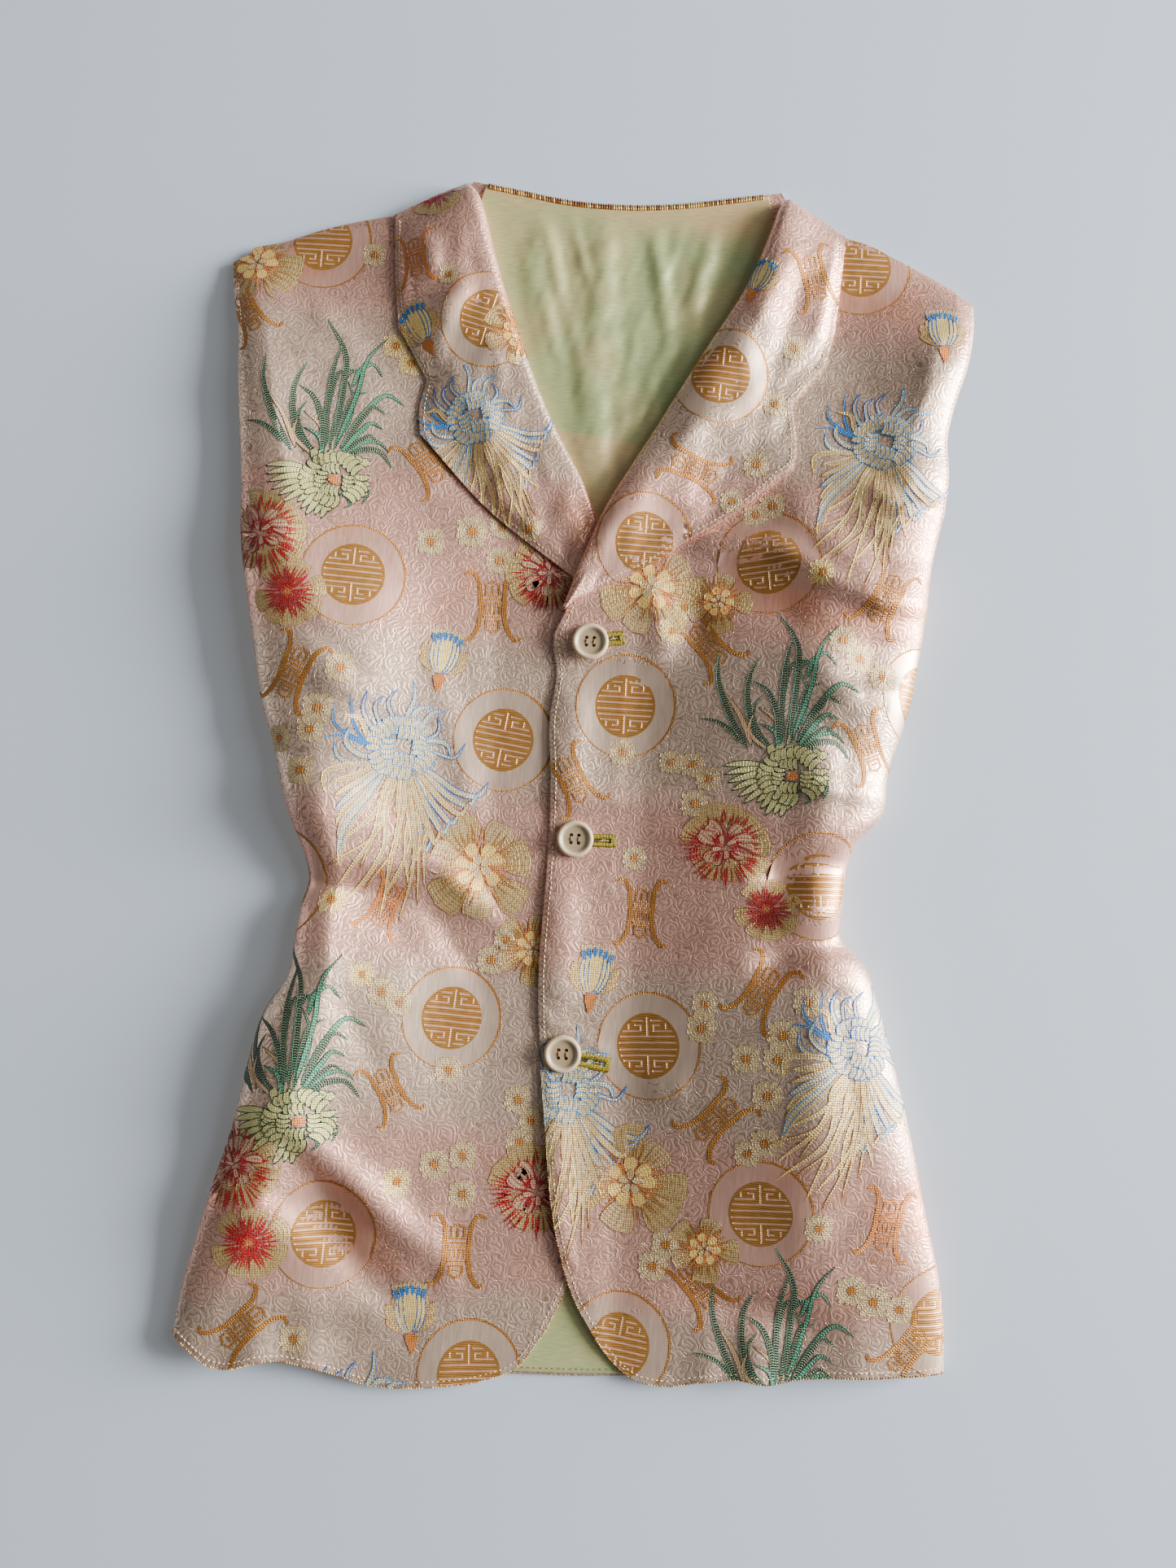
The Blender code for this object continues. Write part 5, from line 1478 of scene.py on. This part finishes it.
# The panel that lies on the table has a plain repeat of the same figures
backRepeat = {"width": 190, "height": 330}
backFigures = {
    "medallion": ((20, 40, 0, 100), (110, 96, 0, 100), (64, 200, 0, 100), (160, 250, 0, 100)),
    "fret": ((66, 66, 40, 92), (160, 140, 3, 100), (18, 150, -22, 100), (112, 286, 28, 92)),
    "tuft": ((134, 184, 0, 96),), "mum": ((30, 262, 0, 92),), "redPeony": ((160, 44, 0, 100),),
    "redBurst": ((176, 14, 0, 100),), "goldPeony": ((80, 140, 0, 100),), "bud": ((96, 250, 0, 100),),
    "daisy": ((50, 10, 0, 92), (64, 20, 0, 92), (100, 170, 0, 92), (30, 110, 0, 92), (12, 210, 0, 92),
              (140, 290, 0, 92), (88, 30, 0, 84)),
}
figureOrder = (
    "medallion", "fret", "orangeFret", "daisy", "whiteDaisy", "bud", "smallGold", "goldPeony", "redPeony",
    "redBurst", "mum", "tuft", "blades",
)
figureLift = {"first": 0.08, "step": 0.035, "longest": 2.8}


def stripGrid(path, halfWidths, across):
    offsets = np.linspace(-1, 1, across + 1)[None, :, None]
    return path[:, None] + offsets * (halfWidths[:, None] * lineNormals(path))[:, None]


def resampled(path, halfWidths, longest):
    # more rows where the steps are long, so that a strip follows the folds
    reach = lengthsAlong(path)
    if np.diff(reach).max() <= longest:
        return path, halfWidths
    at = np.linspace(0, reach[-1], int(np.ceil(reach[-1] / longest)) + 1)
    return sample(path, reach, at), np.interp(at, reach, halfWidths)


def layOn(cloth, grid, lift):
    # brings a strip's points onto the cloth; points past the cloth's edge are drawn back to it
    rows, across = grid.shape[:2]
    found = [[onCloth(cloth, *grid[i, j], lift) for j in range(across)] for i in range(rows)]
    inside = [(i, j) for i, j in np.ndindex(rows, across) if found[i][j]]
    if not inside:
        return None
    flat, lost = grid.copy(), set()
    for i, j in np.ndindex(rows, across):
        if found[i][j]:
            continue
        lost.add((i, j))
        near = grid[min(inside, key=lambda p: (grid[p] - grid[i, j]) @ (grid[p] - grid[i, j]))]
        far = grid[i, j]
        for _ in range(7):
            middle = (near + far) / 2
            if onCloth(cloth, *middle, lift):
                near = middle
            else:
                far = middle
        found[i][j], flat[i, j] = onCloth(cloth, *near, lift), near
    return found, flat, lost


def packed(sizes, room=0.25):
    # lays rectangles out on shelves: the corner of each one, and the side of the square that holds them
    order = sorted(range(len(sizes)), key=lambda k: -sizes[k][1])
    width = math.sqrt(sum((w + room) * (h + room) for w, h in sizes)) * 1.06
    corners, x, y, shelf = [None] * len(sizes), 0.0, 0.0, 0.0
    for k in order:
        w, h = sizes[k]
        if x + w > width:
            x, y, shelf = 0.0, y + shelf + room, 0.0
        corners[k] = (x, y)
        x, shelf = x + w + room, max(shelf, h)
    return corners, max(width, y + shelf) + room


def figureStrips(cloth, rows):
    # every strip of every figure, moved to its place: middle line, half widths, thread, lift and columns
    for order, figure in enumerate(figureOrder):
        choices = figureMakers[figure]
        for number, (x, y, lean, size) in enumerate(rows.get(figure, ())):
            place = np.array(flatUnder(cloth, x, y) if "plan" in cloth else (x, y))
            turn, size = math.radians(lean), size / 100
            spin = np.array([[math.cos(turn), math.sin(turn)], [-math.sin(turn), math.cos(turn)]]) * size
            for path, halfWidths, thread, level, across in choices[number % len(choices)]:
                path, halfWidths = resampled(path, halfWidths, figureLift["longest"])
                lift = figureLift["first"] + figureLift["step"] * (level + (2 if order else 0))
                yield path @ spin + place, halfWidths * size, thread, lift, across


def drawFigures(cloth, name, rows, slot):
    names = ["satin", "medallion", *threadRows]
    rng = random.Random(17)
    points, maps, faces, slots, atlas, sizes = [], [], [], [], [], []
    for path, halfWidths, thread, lift, across in figureStrips(cloth, rows):
        grid = stripGrid(path, halfWidths, across)
        laid = layOn(cloth, grid, lift)
        if laid is None:
            continue
        found, flat, lost = laid
        start, made, (n, m) = len(points), len(faces), grid.shape[:2]
        for i, j in np.ndindex(n - 1, m - 1):
            corners = quadAt(i, j)
            if not all(c in lost for c in corners):
                faces.append([start + a * m + b for a, b in corners])
                slots.append(names.index(thread))
                atlas.append((len(sizes), [(a / (n - 1), b / (m - 1)) for a, b in corners]))
        if len(faces) == made:
            continue
        reach, chance = lengthsAlong(grid[:, m // 2]), rng.random()
        for i, j in np.ndindex(n, m):
            points.append(found[i][j])
            maps.append((*(flat[i, j] * mm), reach[i], 2 * j / (m - 1) - 1, halfWidths[i], chance))
        sizes.append((float(reach[-1]) + 0.2, float(2 * halfWidths.max()) + 0.2))
    mesh = bpy.data.meshes.new(name)
    mesh.from_pydata([p * mm for p, _ in points], [], faces)
    spread = np.array(maps)[np.array(faces).ravel()]
    for label, first in (("cloth", 0), ("strip", 2), ("girth", 4)):
        mesh.uv_layers.new(name=label).data.foreach_set("uv", spread[:, first:first + 2].ravel())
    corners, whole = packed(sizes)
    spots = []
    for k, quad in atlas:
        (cx, cy), (w, h) = corners[k], sizes[k]
        spots += [((cx + a * w) / whole, (cy + b * h) / whole) for a, b in quad]
    mesh.uv_layers.new(name="OFBake").data.foreach_set("uv", np.array(spots).ravel())
    used = sorted(set(slots))
    for k in used:
        mesh.materials.append(materials[names[k]])
    mesh.polygons.foreach_set("material_index", [used.index(k) for k in slots])
    mesh.polygons.foreach_set("use_smooth", [True] * len(faces))
    flip = [f.index for f in mesh.polygons
            if sum((points[i][1] for i in f.vertices), Vector()).dot(f.normal) < 0]
    shape = bmesh.new()
    shape.from_mesh(mesh)
    shape.faces.ensure_lookup_table()
    bmesh.ops.reverse_faces(shape, faces=[shape.faces[i] for i in flip])
    shape.to_mesh(mesh)
    shape.free()
    print(name, len(faces), "faces,", len(sizes), "strips")
    return link(bpy.data.objects.new(name, mesh), slot)


def repeated(rows, width, height):
    shifts = [(i * width, j * height) for i in range(-2, 2) for j in range(-1, 1)]
    return {figure: [(x + dx, y + dy, lean, size) for dx, dy in shifts for x, y, lean, size in places]
            for figure, places in rows.items()}


for clothName, rows in figurePlaces.items():
    slot = "brocade_pink" if "front" in clothName else "lapel_brocade"
    drawFigures(cloths[clothName], clothName + "Figures", rows, slot)
drawFigures(cloths["back"], "backFigures", repeated(backFigures, **backRepeat), "brocade_pink")
print("figures woven")


# Buttons
def turnedBody():
    # the button's profile turned about its axis
    steps = 72
    shape = bmesh.new()
    rings = []
    for radius, height in button["profile"]:
        angles = np.linspace(0, 2 * math.pi, steps, endpoint=False) if radius else [0.0]
        rings.append([shape.verts.new((radius * math.cos(a) * mm, radius * math.sin(a) * mm, height * mm))
                      for a in angles])
    for a, b in zip(rings[:-1], rings[1:]):
        for k in range(steps):
            n = (k + 1) % steps
            if len(a) == 1:
                shape.faces.new((a[0], b[k], b[n]))
            elif len(b) == 1:
                shape.faces.new((a[k], b[0], a[n]))
            else:
                shape.faces.new((a[k], b[k], b[n], a[n]))
    bmesh.ops.recalc_face_normals(shape, faces=shape.faces)
    return meshFrom(shape, "turned")


def holePins():
    pins = bmesh.new()
    radius, half = button["holeRadius"] * mm, button["holeSpacing"] / 2 * mm
    for i in (-1, 1):
        for j in (-1, 1):
            made = bmesh.ops.create_cone(pins, cap_ends=True, segments=24, depth=button["pinLength"] * mm,
                                         radius1=radius, radius2=radius)
            bmesh.ops.translate(pins, verts=made["verts"], vec=(i * half, j * half, 0))
    return meshFrom(pins, "pins")


def makeButton(name):
    low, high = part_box(name)
    whole, pins = bpy.data.objects.new("whole", turnedBody()), bpy.data.objects.new("pins", holePins())
    for thing in (pins, whole):
        bpy.context.scene.collection.objects.link(thing)
    holes = whole.modifiers.new("holes", "BOOLEAN")
    holes.operation, holes.object = "DIFFERENCE", pins
    bpy.context.view_layer.update()
    cut = bpy.data.meshes.new_from_object(whole.evaluated_get(bpy.context.evaluated_depsgraph_get()))
    for thing in (pins, whole):
        bpy.data.objects.remove(thing)
    cut.materials.clear()
    cut.materials.append(materials["horn"])
    cut.shade_smooth()
    cut.set_sharp_from_angle(angle=math.radians(40))
    thing = bpy.data.objects.new("button" + name.split("_")[1].title(), cut)
    thing.location = ((low.x + high.x) / 2, (low.y + high.y) / 2, low.z)
    return link(thing, "button_horn", name)


buttons = [makeButton(name) for name in ("button_top", "button_middle", "button_bottom")]
print("buttons turned")


# Sewing
sewing = {
    "stitchPitch": 2.6, "stitchLength": 1.7, "stitchWidth": 0.42, "inset": 2.6, "armInset": 3.4,
    "whipPitch": 1.35, "whipWidth": 0.30, "whipOver": 0.86, "whipInto": (0.55, 1.05),
    "neckPitch": 1.3, "neckWidth": 0.5,
    # each wrap at the neck: shift along the edge, distance into the lining, rise
    "neckWrap": ((0.5, 1.8, 0.5), (0.3, 1.0, 0.85), (0.0, -0.2, 0.7), (-0.3, -1.2, 0.1), (-0.5, -1.9, -1.2)),
}


def tube(shape, points, radius, sides, slot):
    # a thread along the points, closed at both ends
    points = [Vector(p) for p in points]
    rings = []
    for k, p in enumerate(points):
        ahead = (points[min(k + 1, len(points) - 1)] - points[max(k - 1, 0)]).normalized()
        sideways = ahead.orthogonal().normalized()
        up = ahead.cross(sideways)
        r = radius * (0.55 if k in (0, len(points) - 1) else 1.0)
        rings.append([shape.verts.new((p + (sideways * math.cos(a) + up * math.sin(a)) * r) * mm)
                      for a in np.linspace(0, 2 * math.pi, sides, endpoint=False)])
    made = []
    for a, b in zip(rings[:-1], rings[1:]):
        for k in range(sides):
            n = (k + 1) % sides
            made.append(shape.faces.new((a[k], a[n], b[n], b[k])))
    made.append(shape.faces.new(rings[0][::-1]))
    made.append(shape.faces.new(rings[-1]))
    uv = shape.loops.layers.uv["cloth"]
    for face in made:
        face.material_index = slot
        face.smooth = True
        for loop in face.loops:
            loop[uv].uv = loop.vert.co.xy


def threadPiece(name, build, colours, slot):
    shape = bmesh.new()
    shape.loops.layers.uv.new("cloth")
    build(shape)
    mesh = meshFrom(shape, name)
    for colour in colours:
        mesh.materials.append(materials[colour])
    print(name, len(mesh.polygons), "faces")
    return link(bpy.data.objects.new(name, mesh), slot)


def threadPath(cloth, places, lifts):
    # the places over the cloth that a thread runs through, or none where it would run off the cloth
    hits = [onCloth(cloth, *place, lift) for place, lift in zip(places, lifts)]
    return [hit[0] for hit in hits] if all(hits) else None


def runStitches(shape, cloth, line, colour, pitch, length, seed):
    # running stitches along a flat line: short raised threads with gaps between
    rng = random.Random(seed)
    reach = lengthsAlong(line)
    at = 0.5
    while at + length < reach[-1]:
        places = sample(line, reach, at + length * np.array([0, 0.3, 0.7, 1]))
        places[:, 0] += rng.uniform(-0.15, 0.15)
        path = threadPath(cloth, places, (-0.06, 0.16, 0.16, -0.06))
        if path:
            tube(shape, path, sewing["stitchWidth"] / 2, 5, colour)
        at += pitch * rng.uniform(0.9, 1.1)


def insetLine(points, inset, inward):
    # a flat line moved sideways, towards the side of a given point
    normals = lineNormals(points)
    return points + np.sign(((inward - points) * normals).sum(1))[:, None] * normals * inset


def sewEdges(shape):
    inset, lines = sewing["inset"], []
    plain = (0, sewing["stitchPitch"], sewing["stitchLength"])
    for name in ("frontLeft", "frontRight"):
        flat = cloths[name]["flat"]
        first, armRows = int(len(flat) * 0.36), int(len(flat) * 0.24)
        lines += [
            (name, insetLine(flat[first:, 0], inset, flat[first:, 8]), *plain),
            (name, insetLine(flat[-1, 2:-6], inset, flat[-10, 2:-6]), *plain),
            (name, insetLine(flat[6:armRows, -1], sewing["armInset"], flat[6:armRows, -12]), *plain),
        ]
    for name in ("lapelLeft", "lapelRight"):
        flat = cloths[name]["flat"]
        line = insetLine(flat[2:-1, 0], inset, flat[2:-1, 6])
        lines.append((name, line, 0, sewing["stitchPitch"] * 0.92, sewing["stitchLength"]))
    flat = cloths["lining"]["flat"]
    lines.append(("lining", insetLine(flat[0, 12:-12], 1.6, flat[6, 12:-12]), 1, 2.2, 1.3))
    lines.append(("lining", insetLine(flat[-1, 20:-20], 2.2, flat[-8, 20:-20]), 1, 3.0, 1.6))
    for seed, (name, *stitches) in enumerate(lines, 1):
        runStitches(shape, cloths[name], *stitches, seed)


def whipEdges(shape):
    # slanted wraps of thread over the raw hem edges
    rng = random.Random(9)
    over, (into, back) = sewing["whipOver"], sewing["whipInto"]
    for name in ("frontLeft", "frontRight"):
        points, normals = cloths[name]["points"], cloths[name]["normals"]
        foot = int(len(points) * 0.86)
        hem = points[-1, :-3], normals[-1, :-3], points[-3, :-3]
        closing = points[foot:, 0][::-1], normals[foot:, 0][::-1], points[foot:, 1][::-1]
        for line, outs, inside in (hem, closing):
            ins, reach = unit(inside - line), lengthsAlong(line)
            for at in np.arange(0.4, reach[-1] - 0.8, sewing["whipPitch"]):
                turns = np.linspace(-1, 1, 6)
                s = at + rng.uniform(-0.12, 0.12) + 0.55 * turns
                p, out, inward = [sample(rows, reach, s) for rows in (line, outs, ins)]
                angles = np.radians(80 * turns)[:, None]
                path = p + out * np.sin(angles) * over + inward * (into - np.cos(angles) * back)
                tube(shape, path, sewing["whipWidth"], 5, 0 if rng.random() < 0.55 else 1)
    # the neck's edge is bound by thicker wraps, over the lining and down to the back
    points = cloths["lining"]["points"]
    line = points[0, 10:-10]
    ins, reach = unit(points[3, 10:-10] - line), lengthsAlong(line)
    shift, into, rise = np.array(sewing["neckWrap"]).T
    for at in np.arange(0.6, reach[-1] - 1.2, sewing["neckPitch"]):
        path = sample(line, reach, at + shift) + sample(ins, reach, at + shift) * into[:, None]
        path[:, 2] += rise
        tube(shape, path, sewing["neckWidth"] * rng.uniform(0.9, 1.1), 6, 1 if rng.random() < 0.4 else 0)


threadPiece("edgeStitches", sewEdges, ["cream", "brown"], "brocade_pink")
threadPiece("hemWhipping", whipEdges, ["paleGold", "gold"], "brocade_pink")

buttonhole = {
    # x and y of the slit's ends and the half height of the worked band
    "rows": ((-3, 73.2, 14.2, 76.4, 3.6), (-4, -29.4, 15.8, -29.0, 3.3), (-4, -138.6, 19.0, -142.2, 3.9)),
    "slit": 0.75, "pitch": 0.52, "thread": 0.27, "barPitch": 0.48, "barLength": 2.0,
    # each stitch of the band: share of the way out, lift
    "wrap": ((0.0, 0.05), (0.2, 0.42), (0.55, 0.5), (0.85, 0.36), (1.0, -0.05)),
}


def sewButtonholes(shape):
    cloth, rng = cloths["frontRight"], random.Random(4)
    slit, thread = buttonhole["slit"], buttonhole["thread"]
    for x0, y0, x1, y1, half in buttonhole["rows"]:
        start, end = np.array(flatUnder(cloth, x0, y0)), np.array(flatUnder(cloth, x1, y1))
        length = np.linalg.norm(end - start)
        ahead = (end - start) / length
        across = np.array([-ahead[1], ahead[0]])
        for at in np.arange(0, length - 1.6, buttonhole["pitch"]):
            for s in (-1, 1):
                offs = [slit + share * (half - slit) + rng.uniform(-0.06, 0.06)
                        for share, _ in buttonhole["wrap"]]
                places = [start + ahead * at + across * s * off for off in offs]
                path = threadPath(cloth, places, [lift for _, lift in buttonhole["wrap"]])
                if path:
                    tube(shape, path, thread * rng.uniform(0.9, 1.15), 5, 0)
        shares = np.linspace(-1, 1, 7)
        for at in np.arange(0, buttonhole["barLength"], buttonhole["barPitch"]):  # the bar across the far end
            places = [end - ahead * at + across * share * half * 0.96 for share in shares]
            path = threadPath(cloth, places, 0.55 - 0.5 * np.abs(shares) ** 3)
            if path:
                tube(shape, path, thread * 1.1, 5, 0)
        for k in range(5):  # pale ends of the cut cloth in the slit
            at = length * (0.62 + 0.07 * k)
            places = [start + ahead * (at + share * rng.uniform(0.8, 1.6)) + across * (slit * share * 0.8)
                      for share in np.linspace(-1, 1, 4)]
            path = threadPath(cloth, places, [0.12] * 4)
            if path:
                tube(shape, path, 0.16, 4, 1)


def makeSlitShadows():
    # a dark strip inside each worked buttonhole: painted shadow in the gap of the slit
    cloth, steps = cloths["frontRight"], 12
    points, faces = [], []
    for x0, y0, x1, y1, _ in buttonhole["rows"]:
        path = np.linspace(flatUnder(cloth, x0, y0), flatUnder(cloth, x1, y1), steps)
        found = layOn(cloth, stripGrid(path, np.full(steps, buttonhole["slit"] + 0.2), 2), 0.08)[0]
        faces += [[len(points) + 3 * a + b for a, b in quadAt(i, j)] for i, j in np.ndindex(steps - 1, 2)]
        points += [place * mm for row in found for place, _ in row]
    mesh = bpy.data.meshes.new("buttonholeSlits")
    mesh.from_pydata(points, [], faces)
    uv = mesh.uv_layers.new(name="cloth")
    for loop in mesh.loops:
        uv.data[loop.index].uv = points[loop.vertex_index].xy
    mesh.materials.append(materials["slit"])
    link(bpy.data.objects.new("buttonholeSlits", mesh), "brocade_pink")


threadPiece("buttonholes", sewButtonholes, ["olive", "cream"], "brocade_pink")
makeSlitShadows()

buttonLoop = {
    "apart": 0.16, "radius": 0.17,
    # share of the way between two holes, height
    "rows": ((-0.86, 0.6), (-0.76, 1.8), (-0.5, 2.3), (0, 2.36), (0.5, 2.3), (0.76, 1.8), (0.86, 0.6)),
}


def sewButtons(shape):
    # two threads through each pair of holes
    half = button["holeSpacing"] / 2
    for thing in buttons:
        middle = thing.location / mm
        for s in (-half, half):
            for shift in (-buttonLoop["apart"], buttonLoop["apart"]):
                path = [middle + Vector((s + shift + 0.2 * share, half * share, height))
                        for share, height in buttonLoop["rows"]]
                tube(shape, path, buttonLoop["radius"], 6, 0)


threadPiece("buttonThread", sewButtons, ["brown"], "button_horn")
print("sewing done")


# Sheets of cloth
sheets = {  # width and length of each cut in metres, the pieces it rests on, and the pieces that go with it
    "frontLeft": ((0.245, 0.640), ["backPanel", "backLining"], ["frontLeftFigures"]),
    "frontRight": ((0.245, 0.632), ["backPanel", "backLining", "frontLeft"],
                   ["frontRightFigures", "buttonholes", "buttonholeSlits"]),
    "lapelLeft": ((0.160, 0.245), ["frontLeft"], ["lapelLeftFigures"]),
    "lapelRight": ((0.165, 0.245), ["frontRight"], ["lapelRightFigures"]),
    "lining": ((0.380, 0.620), ["backPanel"], []),
    "back": ((0.392, 0.624), ["table"], ["backFigures"]),
}
for clothName, (flat, restsOn, withPieces) in sheets.items():
    cloth = cloths[clothName]
    print(clothName, "cut", flat, "area", round(cloth["area"], 4), "of", round(flat[0] * flat[1], 4))
    [bpy.data.objects[n] for n in withPieces]
    min(cloth["area"], flat[0] * flat[1])
    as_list(restsOn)


# Floor, light and camera
bpy.ops.mesh.primitive_plane_add(size=12.0, location=(0.0, 0.0, -0.0006))
table = bpy.context.object
table.name = "table"
table.data.materials.append(floorMaterial())

lights = {
    "window": {"place": (3.40, 0.55, 0.92), "size": 1.9, "power": 900.0, "colour": (1.0, 0.98, 0.95)},
    "wall": {"place": (-2.40, 0.20, 0.42), "size": 1.2, "power": 8.0, "colour": (1.0, 0.97, 0.93)},
    "windowTop": {"place": (1.50, 0.45, 1.50), "size": 1.0, "power": 16.0, "colour": (1.0, 0.99, 0.97)},
}
for name, values in lights.items():
    lamp = bpy.data.lights.new(name, "AREA")
    lamp.size, lamp.energy, lamp.color = values["size"], values["power"], values["colour"]
    thing = bpy.data.objects.new(name, lamp)
    thing.location = values["place"]
    thing.rotation_mode = "QUATERNION"
    thing.rotation_quaternion = (-Vector(values["place"])).to_track_quat("-Z", "Y")
    bpy.context.scene.collection.objects.link(thing)
world = bpy.data.worlds.new("room")
bpy.context.scene.world = world
world.use_nodes = True
room = world.node_tree.nodes["Background"].inputs
room["Color"].default_value, room["Strength"].default_value = (0.93, 0.97, 1.0, 1.0), 0.12

# metres to the floor, angles in degrees
view = {"distance": 0.615, "pitch": 4.5, "tall": 67.0, "turn": 3.3}
pitch, turn = math.radians(view["pitch"]), math.radians(view["turn"])
spin = Matrix.Rotation(turn, 3, "Z") @ Matrix.Rotation(pitch, 3, "X")
camera = bpy.data.objects.new("camera", bpy.data.cameras.new("camera"))
camera.location = spin @ Vector((0.0, 0.0, view["distance"])) + Vector((*garment["shift"], 0.0)) * mm
camera.rotation_mode = "QUATERNION"
camera.rotation_quaternion = spin.to_quaternion()
camera.data.sensor_width = 36.0
camera.data.lens = camera.data.sensor_width / 2 / math.tan(math.radians(view["tall"] / 2))
camera.data.clip_start = 0.05
bpy.context.scene.collection.objects.link(camera)
bpy.context.scene.camera = camera
